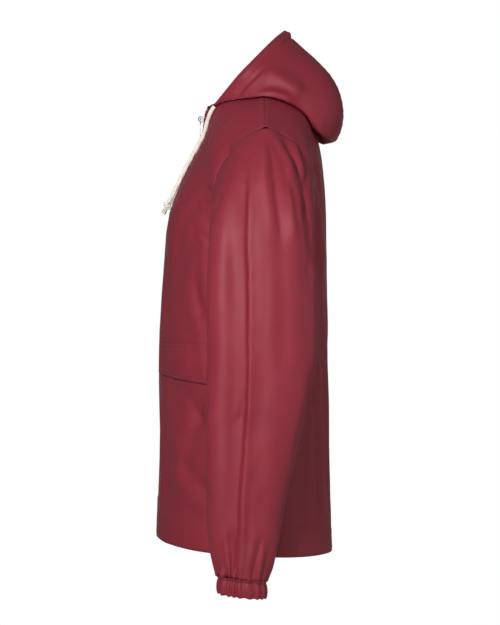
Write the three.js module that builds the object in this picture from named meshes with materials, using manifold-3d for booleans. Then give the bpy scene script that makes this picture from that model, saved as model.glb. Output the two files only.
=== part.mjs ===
// A hooded raincoat worn by nobody: hollow, standing in its worn shape, in millimetres.
// +Z is up, the fronts face -Y, the wearer's left is +X. The origin is the middle of the
// neck opening at shoulder height, where the wearer carries the garment.

import * as THREE from 'three';
import { mergeVertices } from 'three/addons/utils/BufferGeometryUtils.js';
import Module from 'manifold-3d';

const wasm = await Module();
wasm.setup();

// Driving dimensions
const cloth = 1.6;              // wall of coated cloth with its backing
const turned = 2.5;             // wall where an edge is turned up: hem and hood casing
const seamGap = 0.16;           // each side of a seam, so pieces lie about 0.3 mm apart
const zipHalf = 4;              // half the gap between the fronts, where the chain shows
const hemTurn = 42;             // height of the turned hem
const underarmZ = -240;         // height of the underarm point
const frontColumns = 9;         // cells across a front, and across half of the back
const lowerRows = 11;           // cells from hem to underarm
const upperRows = 12;           // cells from underarm to shoulder seam
const sleeveCapRings = 6;       // cells from the armhole to the first level sleeve ring
const sleeveRings = 12;         // cells from there to the cuff
const hoodRows = 14;            // cells from the face edge to the back of the neck
const hoodColumns = 12;         // cells from the centre seam to the neck seam
const casingWidth = 18;         // turned casing along the face edge of the hood
const cuffGathers = 16;         // gathers round one elasticated cuff
const cordDiameter = 6;         // twisted cotton drawcord

// Torso sections from the hem up: y of centre front, centre back and side seam, half width
const torsoSections = [
  { z: -686, front: -163, back: 109, side: -6, half: 231 },
  { z: -610, front: -160, back: 108.5, side: -6, half: 226 },
  { z: -530, front: -157.5, back: 108, side: -6, half: 221 },
  { z: -455, front: -159.5, back: 107, side: -6, half: 217 },
  { z: -376, front: -159.5, back: 106, side: -6, half: 213 },
  { z: -310, front: -155.5, back: 105, side: -6, half: 211 },
  { z: -240, front: -150.5, back: 102, side: -6, half: 211 },
  { z: -190, front: -147, back: 101, side: -6, half: 211 },
  { z: -158, front: -137, back: 99, side: -6, half: 211 },
  { z: -128, front: -124.5, back: 96.5, side: -6, half: 211 },
  { z: -97, front: -109.5, back: 94, side: -6, half: 211 },
  { z: -71, front: -96, back: 90, side: -6, half: 211 },
  { z: -48, front: -90, back: 83, side: -6, half: 211 },
  { z: -20, front: -89.5, back: 73, side: -6, half: 211 },
];
const hemDrop = { front: 15, side: 0, back: -9 };   // hem height against the side seam
const hemLevelZ = -470;                             // above this the rows are level

// Armhole of the left side, from the underarm to the shoulder tip
const armholeFront = [
  { x: 211, y: -6, z: -240 },
  { x: 204, y: -42, z: -222 },
  { x: 190, y: -65, z: -187 },
  { x: 184, y: -72, z: -145 },
  { x: 190, y: -59, z: -107 },
  { x: 206, y: -33, z: -79 },
  { x: 224, y: 4, z: -62 },
];
const armholeBack = [
  { x: 211, y: -6, z: -240 },
  { x: 206, y: 38, z: -222 },
  { x: 195, y: 66, z: -190 },
  { x: 189, y: 76, z: -148 },
  { x: 194, y: 66, z: -108 },
  { x: 208, y: 40, z: -78 },
  { x: 224, y: 4, z: -62 },
];

// Half necklines, from the centre to the shoulder seam
const necklineFront = [
  { x: zipHalf, y: -89.5, z: -20 },
  { x: 25, y: -85, z: -20.5 },
  { x: 48, y: -71, z: -16.5 },
  { x: 68, y: -45, z: -8.5 },
  { x: 80, y: 4, z: -4 },
];
const necklineBack = [
  { x: 0, y: 74, z: -24 },
  { x: 30, y: 70, z: -22 },
  { x: 55, y: 57, z: -16 },
  { x: 73, y: 34, z: -9 },
  { x: 80, y: 4, z: -4 },
];

// The front rounds back beside the zip, just below its neckline
const neckRound = { depth: 12, x: [27, 56, 90, 170], z: [-80, -50, -30, -15] };

// Level rings of the left sleeve: centre and half sizes
const sleeveSections = [
  { z: -262, x: 276, y: -2, halfX: 49, halfY: 77 },
  { z: -315, x: 281, y: -1, halfX: 50, halfY: 79 },
  { z: -372, x: 283, y: -1, halfX: 49, halfY: 79 },
  { z: -430, x: 283, y: -2, halfX: 48, halfY: 79 },
  { z: -465, x: 283, y: -7, halfX: 47, halfY: 74 },
  { z: -516, x: 283, y: -15, halfX: 45, halfY: 67 },
  { z: -602, x: 284, y: -25, halfX: 41, halfY: 57 },
  { z: -650, x: 285, y: -28, halfX: 39, halfY: 52 },
  { z: -684, x: 286, y: -29.5, halfX: 37, halfY: 45 },
  { z: -709, x: 287, y: -30, halfX: 33, halfY: 36.5 },
];
const cuff = { height: 25, halfX: 30, halfY: 34, wave: 1.3, tilt: 0.1 };

// Sections of the left hood side, from the face edge to the nape. The seam lies on x = 0,
// neck is the place along the half neckline from the zip to the nape.
const hoodSections = [
  { seamY: 35, seamZ: 106, crownX: 50, crownY: 12, crownZ: 81, sideX: 80, sideY: -28, sideZ: 37,
    rimX: 52, rimY: -70, rimZ: -9, neck: 0.05 },
  { seamY: 58, seamZ: 84, crownX: 56, crownY: 38, crownZ: 68, sideX: 96, sideY: -8, sideZ: 31,
    rimX: 84, rimY: -38, rimZ: -9, neck: 0.24 },
  { seamY: 84, seamZ: 61, crownX: 60, crownY: 66, crownZ: 50, sideX: 105, sideY: 16, sideZ: 24,
    rimX: 104, rimY: 1, rimZ: -7.5, neck: 0.42 },
  { seamY: 107, seamZ: 34, crownX: 59, crownY: 92, crownZ: 28, sideX: 105, sideY: 46, sideZ: 12,
    rimX: 104, rimY: 32, rimZ: -14, neck: 0.57 },
  { seamY: 122, seamZ: 5, crownX: 56, crownY: 111, crownZ: 0, sideX: 97, sideY: 74, sideZ: -8,
    rimX: 95, rimY: 58, rimZ: -30, neck: 0.7 },
  { seamY: 127, seamZ: -27, crownX: 50, crownY: 119, crownZ: -28, sideX: 84, sideY: 95, sideZ: -36,
    rimX: 80, rimY: 83, rimZ: -58, neck: 0.82 },
  { seamY: 121, seamZ: -56, crownX: 38, crownY: 114, crownZ: -57, sideX: 60, sideY: 102, sideZ: -64,
    rimX: 54, rimY: 93, rimZ: -64, neck: 0.9 },
  { seamY: 108, seamZ: -66, crownX: 22, crownY: 104, crownZ: -66, sideX: 34, sideY: 98, sideZ: -62,
    rimX: 34, rimY: 90, rimZ: -52, neck: 0.945 },
  { seamY: 80, seamZ: -30, crownX: 4, crownY: 80, crownZ: -30, sideX: 8, sideY: 79, sideZ: -28.5,
    rimX: 11, rimY: 78, rimZ: -27, neck: 0.975 },
];
const hoodLift = 1.2;           // the hood's neck edge above the neckline it is sewn to
const hoodClearance = 2.4;        // the least between the hood's overhang and the torso

// Largest folds. Each runs from one place to another in the view that it is seen from,
// across is x in front and back views and y in side views; a positive depth is a ridge.
const folds = [
  { view: 'left', across: -30, z: -170, toAcross: -27, toZ: -440, width: 13, depth: -11.2 },
  { view: 'left', across: -30, z: -425, toAcross: -44, toZ: -640, width: 10, depth: -8 },
  { view: 'left', across: -52, z: -200, toAcross: -52, toZ: -600, width: 13, depth: 4.8 },
  { view: 'left', across: -6, z: -150, toAcross: -4, toZ: -470, width: 14, depth: 6.4 },
  { view: 'left', across: 30, z: -95, toAcross: 44, toZ: -230, width: 9, depth: -8 },
  { view: 'left', across: 52, z: -240, toAcross: 62, toZ: -400, width: 12, depth: -4.8 },
  { view: 'left', across: -8, z: -560, toAcross: -20, toZ: -690, width: 9, depth: -6.4 },
  { view: 'right', across: -24, z: -185, toAcross: -30, toZ: -460, width: 13, depth: -9.6 },
  { view: 'right', across: -50, z: -190, toAcross: -54, toZ: -570, width: 13, depth: 4.8 },
  { view: 'right', across: -2, z: -160, toAcross: -8, toZ: -500, width: 15, depth: 6.4 },
  { view: 'right', across: 28, z: -100, toAcross: 46, toZ: -250, width: 9, depth: -6.4 },
  { view: 'right', across: -34, z: -470, toAcross: -42, toZ: -660, width: 10, depth: -8 },
  { view: 'right', across: -6, z: -590, toAcross: -14, toZ: -690, width: 9, depth: -4.8 },
  { view: 'front', across: 92, z: -398, toAcross: 168, toZ: -520, width: 18, depth: -9.6 },
  { view: 'front', across: 60, z: -470, toAcross: 150, toZ: -640, width: 22, depth: -6.4 },
  { view: 'front', across: 150, z: -170, toAcross: 128, toZ: -330, width: 18, depth: -6.4 },
  { view: 'front', across: 172, z: -250, toAcross: 176, toZ: -430, width: 14, depth: 4.8 },
  { view: 'front', across: -84, z: -420, toAcross: -160, toZ: -540, width: 19, depth: -8 },
  { view: 'front', across: -148, z: -175, toAcross: -120, toZ: -340, width: 18, depth: -6.4 },
  { view: 'front', across: -66, z: -520, toAcross: -140, toZ: -650, width: 22, depth: -6.4 },
  { view: 'back', across: 62, z: -120, toAcross: 84, toZ: -600, width: 24, depth: -9.6 },
  { view: 'back', across: 128, z: -180, toAcross: 146, toZ: -640, width: 20, depth: -11.2 },
  { view: 'back', across: -54, z: -140, toAcross: -70, toZ: -560, width: 24, depth: -9.6 },
  { view: 'back', across: -132, z: -190, toAcross: -140, toZ: -660, width: 20, depth: -9.6 },
  { view: 'back', across: 4, z: -300, toAcross: -6, toZ: -680, width: 28, depth: -8 },
  { view: 'back', across: 150, z: -110, toAcross: 120, toZ: -260, width: 14, depth: -8 },
  { view: 'back', across: -150, z: -112, toAcross: -118, toZ: -250, width: 14, depth: -6.4 },
];
const zipCalm = { from: 10, to: 38 };         // folds fade out towards the zip
const underarmCalm = { from: 35, to: 85 };    // and towards the underarm points

// Flaps over the slit pockets, in cells of the front panel across and z up. The slits and
// the pocket bags are hidden, so only the flaps are made.
const flap = { inner: 1.1, outer: 6.8, top: -378, innerBottom: -424, outerBottom: -438, cloth: 1.5 };
const flapLifts = [2.6, 1.6, 0.9];            // off the front at its lower edge, middle and top

// Zip
const zipTape = { half: 14, thickness: 1, clearance: 0.4 };
const zipChain = { half: 3, proud: 0.3 };
const slider = { topZ: -27, height: 10, width: 9, plate: 3, gap: 0.9 };
const bail = { wire: 1.4, reach: 5.2, height: 8 };
const pull = { eye: 9.6, bar: 1.4, width: 6.4, hole: 3.6, length: 27, tail: 3.2, thickness: 1.5, seat: 1.6 };

// Drawcord of the left side, from the end of the hood casing down the chest to its knot
const cordRoute = [
  { x: 58.8, y: -72.8, z: -18 },
  { x: 57.6, y: -76.6, z: -23.6 },
  { x: 55.6, y: -80.4, z: -30.4 },
  { x: 52.6, y: -82.9, z: -38.1 },
  { x: 49.2, y: -85.4, z: -46.2 },
  { x: 45.5, y: -88.1, z: -55.1 },
  { x: 42, y: -91.8, z: -63.8 },
  { x: 38.7, y: -96.4, z: -72.7 },
  { x: 35.7, y: -101.2, z: -81.4 },
  { x: 33.3, y: -106.5, z: -90.3 },
  { x: 31.6, y: -111.6, z: -99.3 },
  { x: 30.3, y: -116.4, z: -108.3 },
  { x: 29.2, y: -121.1, z: -117.4 },
  { x: 28.4, y: -125.5, z: -126.5 },
  { x: 27.8, y: -130, z: -135.5 },
  { x: 27.4, y: -134.4, z: -144.5 },
  { x: 27.1, y: -138.9, z: -153.6 },
  { x: 27, y: -143.4, z: -161.6 },
];
const knot = { radius: 5.6, height: 11, tail: 10, tailRadius: 3.6 };

const vector = (place) => new THREE.Vector3(place.x, place.y, place.z);
const mirrored = (point) => new THREE.Vector3(-point.x, point.y, point.z);
const ease = THREE.MathUtils.smoothstep;
const mix = THREE.MathUtils.lerp;

// Value of a named column at a place along a table, on a smooth curve through its rows
function column(table, name, at) {
  const last = table.length - 1;
  const place = THREE.MathUtils.clamp(at, 0, last);
  const i = Math.min(Math.floor(place), last - 1);
  const t = place - i;
  const value = (k) => table[THREE.MathUtils.clamp(k, 0, last)][name];
  const [a, b, c, d] = [value(i - 1), value(i), value(i + 1), value(i + 2)];
  const startSlope = (c - a) / 2;
  const endSlope = (d - b) / 2;
  const t2 = t * t;
  const t3 = t2 * t;
  return b * (2 * t3 - 3 * t2 + 1) + startSlope * (t3 - 2 * t2 + t)
    + c * (3 * t2 - 2 * t3) + endSlope * (t3 - t2);
}

// Straight interpolation of a column by height, for tables with unevenly spaced rows
function columnAtZ(table, name, z) {
  const rising = table[0].z < table[table.length - 1].z;
  const rows = rising ? table : [...table].reverse();
  const above = rows.findIndex((row) => row.z >= z);
  if (above < 0) return rows[rows.length - 1][name];
  if (above === 0) return rows[0][name];
  const low = rows[above - 1];
  const high = rows[above];
  return mix(low[name], high[name], (z - low.z) / (high.z - low.z));
}

// Point at a share of the length of a smooth curve through a table's places
function curveThrough(table) {
  const curve = new THREE.CatmullRomCurve3(table.map(vector), false, 'centripetal');
  return (share) => curve.getPointAt(THREE.MathUtils.clamp(share, 0, 1));
}

const armholeFrontAt = curveThrough(armholeFront);
const armholeBackAt = curveThrough(armholeBack);
const necklineFrontAt = curveThrough(necklineFront);
const necklineBackAt = curveThrough(necklineBack);

// Round stretch from a centre point to a side point: turn is its angle, power squares it off
function roundStretch(centre, side, t, turn, power) {
  const angle = turn * Math.PI / 2;
  const across = (Math.sin(angle * t) / Math.sin(angle)) ** power;
  const along = (1 - Math.cos(angle * t) ** power) / (1 - Math.cos(angle) ** power);
  return new THREE.Vector3(
    mix(centre.x, side.x, across),
    mix(centre.y, side.y, along),
    mix(centre.z, side.z, t ** 1.3),
  );
}

// Rises from 0 to 1 between the first two places, and falls again between the last two
function rampUpDown(value, [riseFrom, riseTo, fallFrom, fallTo]) {
  return ease(value, riseFrom, riseTo) * (1 - ease(value, fallFrom, fallTo));
}

// Half torso grid of one face: rows from the hem to the shoulder seam, columns from the centre
function torsoHalf(face, centreX, armholeAt, necklineAt) {
  const neckZ = necklineAt(0).z;
  const neckRow = Math.round(upperRows * 0.62);
  const hemZ = torsoSections[0].z;
  const grid = [];
  for (let row = 0; row < lowerRows; row += 1) {
    const z = mix(hemZ, underarmZ, row / lowerRows);
    const level = ease(z, hemZ, hemLevelZ);
    const points = [];
    for (let i = 0; i <= frontColumns; i += 1) {
      const t = i / frontColumns;
      const centre = { x: centreX, y: columnAtZ(torsoSections, face, z), z };
      const side = { x: columnAtZ(torsoSections, 'half', z), y: columnAtZ(torsoSections, 'side', z), z };
      const point = roundStretch(centre, side, t, 1, 0.88);
      point.z += mix(mix(hemDrop[face], hemDrop.side, t), 0, level);
      points.push(point);
    }
    grid.push(points);
  }
  for (let row = 0; row <= upperRows; row += 1) {
    const share = row / upperRows;
    const side = armholeAt(share);
    let centre;
    if (row <= neckRow) {
      const z = mix(underarmZ, neckZ, row / neckRow);
      const y = row === neckRow ? necklineAt(0).y : columnAtZ(torsoSections, face, z);
      centre = { x: centreX, y, z };
    } else {
      centre = necklineAt((row - neckRow) / (upperRows - neckRow));
    }
    const points = [];
    const turn = mix(1, 0.35, ease(share, 0, 0.9));
    const power = mix(0.88, 1, ease(share, 0, 0.5));
    for (let i = 0; i <= frontColumns; i += 1) {
      points.push(roundStretch(centre, side, i / frontColumns, turn, power));
    }
    grid.push(points);
  }
  return grid;
}

const shoulderRow = lowerRows + upperRows;
const hemRows = hemTurn / ((underarmZ - torsoSections[0].z) / lowerRows);
const neckCornerRow = lowerRows + Math.round(upperRows * 0.62);
const mirrorGrid = (grid) => grid.map((row) => row.map(mirrored));

const frontGrid = torsoHalf('front', zipHalf, armholeFrontAt, necklineFrontAt);
const backHalfGrid = torsoHalf('back', 0, armholeBackAt, necklineBackAt);
for (const point of frontGrid.slice(lowerRows).flatMap((row) => row.slice(1))) {
  point.y += neckRound.depth * rampUpDown(point.x, neckRound.x) * rampUpDown(point.z, neckRound.z);
}
for (let row = 0; row <= shoulderRow; row += 1) {
  const sideSeam = row <= lowerRows;
  if (sideSeam) backHalfGrid[row][frontColumns].copy(frontGrid[row][frontColumns]);
}
for (let i = 0; i <= frontColumns; i += 1) {
  const shared = frontGrid[shoulderRow][i].clone().lerp(backHalfGrid[shoulderRow][i], 0.5);
  frontGrid[shoulderRow][i].copy(shared);
  backHalfGrid[shoulderRow][i].copy(shared);
}
// The back is one piece: its two halves share the centre line up to the neck, which stays open
const backGrid = backHalfGrid.map((row) => [...[...row].reverse().map(mirrored), ...row]);

// Sleeve grid: a ring of points for each row, from the armhole to the cuff
function sleeveGrid() {
  const ringPoints = 2 * upperRows;
  const armhole = [];
  for (let k = 0; k < ringPoints; k += 1) {
    const onFront = k <= upperRows;
    const row = lowerRows + (onFront ? k : ringPoints - k);
    armhole.push((onFront ? frontGrid : backHalfGrid)[row][frontColumns].clone());
  }
  const ringAt = (z, k) => {
    const angle = 2 * Math.PI * k / ringPoints;
    const value = (name) => columnAtZ(sleeveSections, name, z);
    return new THREE.Vector3(
      value('x') - value('halfX') * Math.cos(angle),
      value('y') - value('halfY') * Math.sin(angle),
      z,
    );
  };
  const topZ = sleeveSections[0].z;
  const endZ = sleeveSections[sleeveSections.length - 1].z;
  const grid = [];
  for (let ring = 0; ring < sleeveCapRings; ring += 1) {
    const t = ring / sleeveCapRings;
    grid.push(armhole.map((start, k) => {
      const end = ringAt(topZ, k);
      const reach = start.distanceTo(end);
      const outer = (1 - Math.cos(2 * Math.PI * k / ringPoints)) / 2;
      const leaving = new THREE.Vector3(mix(0.5, 0.93, outer), 0, mix(-0.87, -0.36, outer));
      const control = start.clone().addScaledVector(leaving.normalize(), reach * 0.36);
      const arriving = end.clone().add(new THREE.Vector3(0, 0, reach * 0.4));
      return new THREE.CubicBezierCurve3(start, control, arriving, end).getPoint(t);
    }));
  }
  for (let ring = 0; ring <= sleeveRings; ring += 1) {
    const z = mix(topZ, endZ, ring / sleeveRings);
    grid.push(armhole.map((_, k) => {
      const point = ringAt(z, k);
      const nearCuff = 1 - ease(z, endZ, endZ + 120);
      point.z += nearCuff * cuff.tilt * (columnAtZ(sleeveSections, 'y', z) - point.y);
      return point;
    }));
  }
  return grid;
}

// Outward normals of welded grids: every panel that shares a point shares its normal
function weldedNormals(grids) {
  const sums = new Map();
  const key = (p) => `${p.x.toFixed(3)},${p.y.toFixed(3)},${p.z.toFixed(3)}`;
  for (const { points, closed, flip, openAfter } of grids) {
    const columns = points[0].length;
    for (let r = 0; r < points.length - 1; r += 1) {
      for (let c = 0; c < (closed ? columns : columns - 1); c += 1) {
        if (c === openAfter) continue;
        const corners = [points[r][c], points[r][(c + 1) % columns],
          points[r + 1][(c + 1) % columns], points[r + 1][c]];
        const across = corners[2].clone().sub(corners[0]);
        const other = corners[3].clone().sub(corners[1]);
        const normal = across.cross(other).multiplyScalar(flip ? -1 : 1);
        if (normal.lengthSq() < 1e-9) continue;
        normal.normalize();
        for (const corner of corners) {
          const id = key(corner);
          if (!sums.has(id)) sums.set(id, new THREE.Vector3());
          sums.get(id).add(normal);
        }
      }
    }
  }
  return (point) => {
    const sum = sums.get(key(point));
    return sum.lengthSq() > 1e-6 ? sum.clone().normalize() : new THREE.Vector3(0, 0, -1);
  };
}

const viewNormals = {
  left: new THREE.Vector3(1, 0, 0),
  right: new THREE.Vector3(-1, 0, 0),
  front: new THREE.Vector3(0, -1, 0),
  back: new THREE.Vector3(0, 1, 0),
};

// How far the folds move a point along its normal
function foldDepth(point, normal) {
  let sum = 0;
  for (const fold of folds) {
    const facing = Math.max(0, normal.dot(viewNormals[fold.view]));
    if (facing === 0) continue;
    const sideView = fold.view === 'left' || fold.view === 'right';
    const onTorso = Math.abs(point.x) < columnAtZ(torsoSections, 'half', point.z) + 2;
    if (sideView && onTorso && point.z < underarmZ + 20) continue;
    const across = sideView ? point.y : point.x;
    const run = new THREE.Vector2(fold.toAcross - fold.across, fold.toZ - fold.z);
    const offset = new THREE.Vector2(across - fold.across, point.z - fold.z);
    const t = THREE.MathUtils.clamp(offset.dot(run) / run.lengthSq(), 0, 1);
    const distance = offset.distanceTo(run.clone().multiplyScalar(t));
    const taper = Math.sin(Math.PI * mix(0.12, 0.88, t));
    sum += fold.depth * taper * Math.sqrt(facing) * Math.exp(-((distance / fold.width) ** 2));
  }
  const underarm = armholeFront[0];
  const fromUnderarm = Math.hypot(Math.abs(point.x) - underarm.x, point.y - underarm.y, point.z - underarm.z);
  sum *= ease(fromUnderarm, underarmCalm.from, underarmCalm.to);
  const besideZip = normal.y < 0 ? ease(Math.abs(point.x), zipCalm.from, zipCalm.to) : 1;
  const sleeveEnd = sleeveSections[sleeveSections.length - 1].z;
  const aboveCuff = ease(point.z, sleeveEnd, sleeveEnd + 30);
  return sum * (Math.abs(point.x) > columnAtZ(torsoSections, 'half', point.z) ? aboveCuff : besideZip);
}

// Settles a set of welded grids into their folds, and gives each point its final normal
function settle(grids) {
  const firstNormal = weldedNormals(grids);
  const moved = grids.map(({ points, ...rest }) => ({
    ...rest,
    points: points.map((row) => row.map((point) => {
      const normal = firstNormal(point);
      return point.clone().addScaledVector(normal, foldDepth(point, normal));
    })),
  }));
  const finalNormal = weldedNormals(moved);
  return Object.fromEntries(moved.map((panel) => {
    const ownNormal = weldedNormals([panel]);
    return [panel.name, {
      ...panel,
      normals: panel.points.map((row) => row.map(finalNormal)),
      ownNormals: panel.points.map((row) => row.map(ownNormal)),
    }];
  }));
}

// One closed body from an outer and an inner grid of points. A closed grid goes round, and
// no cell lies between the column named by openAfter and the next one.
function closedBody(outer, inner, closed, openAfter = -1) {
  const rows = outer.length;
  const columns = outer[0].length;
  const positions = [];
  const known = new Map();
  const ids = outer.map((row, r) => row.map((point, c) => {
    const key = [point.x, point.y, point.z].map((v) => (Math.round(v * 1e4) || 0)).join();
    if (!known.has(key)) {
      known.set(key, positions.length / 3);
      positions.push(point.x, point.y, point.z, inner[r][c].x, inner[r][c].y, inner[r][c].z);
    }
    return known.get(key);
  }));
  const faces = [];
  const edges = new Map();
  const quad = (a, b, c, d) => faces.push(a, b, c, a, c, d);
  for (let r = 0; r < rows - 1; r += 1) {
    for (let c = 0; c < (closed ? columns : columns - 1); c += 1) {
      if (c === openAfter) continue;
      const next = (c + 1) % columns;
      const corners = [ids[r][c], ids[r][next], ids[r + 1][next], ids[r + 1][c]];
      const [low, lowNext, highNext, high] = corners;
      quad(low, lowNext, highNext, high);
      quad(highNext + 1, lowNext + 1, low + 1, high + 1);
      corners.forEach((from, k) => {
        const to = corners[(k + 1) % 4];
        if (edges.has(`${to} ${from}`)) edges.delete(`${to} ${from}`);
        else edges.set(`${from} ${to}`, [from, to]);
      });
    }
  }
  for (const [from, to] of edges.values()) quad(to, from, from + 1, to + 1);
  const geometry = new THREE.BufferGeometry();
  geometry.setAttribute('position', new THREE.Float32BufferAttribute(positions, 3));
  geometry.setIndex(faces);
  return facedOut(geometry);
}

// Turns a closed mesh so that its faces point out
function facedOut(geometry) {
  const place = geometry.getAttribute('position');
  const index = geometry.getIndex().array;
  const [a, b, c] = [new THREE.Vector3(), new THREE.Vector3(), new THREE.Vector3()];
  let volume = 0;
  for (let i = 0; i < index.length; i += 3) {
    a.fromBufferAttribute(place, index[i]);
    b.fromBufferAttribute(place, index[i + 1]);
    c.fromBufferAttribute(place, index[i + 2]);
    volume += a.dot(b.cross(c));
  }
  if (volume < 0) {
    for (let i = 0; i < index.length; i += 3) [index[i], index[i + 1]] = [index[i + 1], index[i]];
  }
  return geometry;
}

// Wall of a panel: its points are the outer face, edges are drawn back from their seams.
// At a sharp seam, as under the arm, each wall keeps its own side of the crease.
function panelWall(panel, thicknessAt = () => cloth) {
  const { points, normals, ownNormals, closed } = panel;
  const rows = points.length;
  const columns = points[0].length;
  const sharp = (r, c) => normals[r][c].dot(ownNormals[r][c]) < 0.85;
  const at = (r, c) => {
    const row = THREE.MathUtils.clamp(r, 0, rows - 1);
    const wrapped = (c + columns) % columns;
    return points[row][closed ? wrapped : THREE.MathUtils.clamp(c, 0, columns - 1)];
  };
  const drawBack = (r, c, dr, dc) => {
    const point = points[r][c];
    const toInside = at(r + dr, c + dc).clone().sub(point);
    const along = at(r + Math.abs(dc), c + Math.abs(dr)).clone().sub(at(r - Math.abs(dc), c - Math.abs(dr)));
    const face = toInside.clone().cross(along);
    const inward = along.clone().cross(face).normalize();
    if (inward.dot(toInside) < 0) inward.negate();
    if (sharp(r, c)) {
      return inward.multiplyScalar(seamGap).addScaledVector(ownNormals[r][c], -seamGap);
    }
    const mitre = along.cross(normals[r][c]).normalize();
    const slant = Math.max(0.25, Math.abs(mitre.dot(inward)));
    return inward.multiplyScalar(seamGap / slant);
  };
  const outer = [];
  const inner = [];
  for (let r = 0; r < rows; r += 1) {
    const outerRow = [];
    const innerRow = [];
    for (let c = 0; c < columns; c += 1) {
      const point = points[r][c].clone();
      if (r === 0) point.add(drawBack(r, c, 1, 0));
      if (r === rows - 1) point.add(drawBack(r, c, -1, 0));
      if (!closed && c === 0) point.add(drawBack(r, c, 0, 1));
      if (!closed && c === columns - 1) point.add(drawBack(r, c, 0, -1));
      const normal = (sharp(r, c) ? ownNormals : normals)[r][c];
      outerRow.push(point);
      innerRow.push(point.clone().addScaledVector(normal, -thicknessAt(points[r][c], r, c)));
    }
    outer.push(outerRow);
    inner.push(innerRow);
  }
  return closedBody(outer, inner, closed, panel.openAfter);
}

// Place on a settled panel at a fractional column and row, moved out along its normal
function onPanel(panel, c, r, lift) {
  const [c0, r0] = [Math.floor(c), Math.floor(r)];
  const c1 = Math.min(c0 + 1, panel.points[0].length - 1);
  const r1 = Math.min(r0 + 1, panel.points.length - 1);
  const blend = (grid) => {
    const low = grid[r0][c0].clone().lerp(grid[r0][c1], c - c0);
    const high = grid[r1][c0].clone().lerp(grid[r1][c1], c - c0);
    return low.lerp(high, r - r0);
  };
  return blend(panel.points).addScaledVector(blend(panel.normals).normalize(), lift);
}

// Row of the lower torso that lies at a height, where the rows are level
function torsoRowAt(z) {
  return lowerRows * (z - torsoSections[0].z) / (underarmZ - torsoSections[0].z);
}

// Grid lines of a panel between two places, with the places themselves at the ends
function linesBetween(from, to) {
  const lines = [from];
  for (let k = Math.floor(from) + 1; k < to - 0.15; k += 1) {
    if (k > from + 0.15) lines.push(k);
  }
  lines.push(to);
  return lines;
}

// Piece lying on a panel, with its lift and its lower edge given for each column
function laidPiece(panel, columns, rowsAt, liftAt, thickness) {
  const rowCount = rowsAt(columns[0]).length;
  const outer = [];
  const inner = [];
  for (let k = 0; k < rowCount; k += 1) {
    outer.push(columns.map((c) => onPanel(panel, c, rowsAt(c)[k], liftAt(k) + thickness)));
    inner.push(columns.map((c) => onPanel(panel, c, rowsAt(c)[k], liftAt(k))));
  }
  return closedBody(outer, inner, false);
}

// Triangles of the torso above a height, which the hood stays clear of
function torsoTriangles(panels, aboveZ) {
  const triangles = [];
  for (const { points, openAfter } of panels) {
    for (let r = lowerRows; r < points.length - 1; r += 1) {
      for (let c = 0; c < points[0].length - 1; c += 1) {
        const corners = [points[r][c], points[r][c + 1], points[r + 1][c + 1], points[r + 1][c]];
        if (corners[2].z < aboveZ || c === openAfter) continue;
        triangles.push(new THREE.Triangle(corners[0], corners[1], corners[2]));
        triangles.push(new THREE.Triangle(corners[0], corners[2], corners[3]));
      }
    }
  }
  return triangles;
}

// Moves a point out until it is clear of the torso
function clearOfTorso(point, triangles) {
  const nearest = new THREE.Vector3();
  const candidate = new THREE.Vector3();
  let best = Infinity;
  let found = null;
  for (const triangle of triangles) {
    triangle.closestPointToPoint(point, candidate);
    const distance = candidate.distanceTo(point);
    if (distance < best) {
      best = distance;
      nearest.copy(candidate);
      found = triangle;
    }
  }
  const normal = found.getNormal(new THREE.Vector3());
  const outward = new THREE.Vector3(nearest.x, nearest.y, 60);
  if (normal.dot(outward) < 0) normal.negate();
  const height = point.clone().sub(nearest).dot(normal);
  if (height < hoodClearance) point.addScaledVector(normal, hoodClearance - height);
  return point;
}

// Hood side: sections from the face edge to the nape, each from the seam to the neckline
function hoodGrid(front, back) {
  const frontNeck = front.points.slice(neckCornerRow).map((row) => row[0]);
  const backNeck = back.points.slice(neckCornerRow).map((row) => row[frontColumns + 1]);
  const neckline = [...frontNeck, ...backNeck.reverse().slice(1)];
  const neckPlace = (share) => {
    const at = share * (neckline.length - 1);
    const k = Math.min(Math.floor(at), neckline.length - 2);
    return neckline[k].clone().lerp(neckline[k + 1], at - k);
  };
  const triangles = torsoTriangles([front, back], -160);
  const last = hoodSections.length - 1;
  const grid = [];
  for (let row = 0; row <= hoodRows; row += 1) {
    const at = last * row / hoodRows;
    const value = (name) => column(hoodSections, name, at);
    const neck = neckPlace(value('neck'));
    const controls = [
      new THREE.Vector3(0, value('seamY'), value('seamZ')),
      new THREE.Vector3(value('crownX'), value('crownY'), value('crownZ')),
      new THREE.Vector3(value('sideX'), value('sideY'), value('sideZ')),
      new THREE.Vector3(value('rimX'), value('rimY'), value('rimZ')),
      new THREE.Vector3(neck.x, neck.y, neck.z + hoodLift),
    ];
    const curve = new THREE.CatmullRomCurve3(controls, false, 'centripetal');
    const points = [];
    for (let i = 0; i <= hoodColumns; i += 1) {
      const point = curve.getPointAt(i / hoodColumns);
      const seam = i === 0;
      const sewn = i === hoodColumns;
      points.push(sewn ? point : clearOfTorso(point, triangles));
      if (seam) point.x = 0;
    }
    grid.push(points);
  }
  return grid;
}

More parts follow.
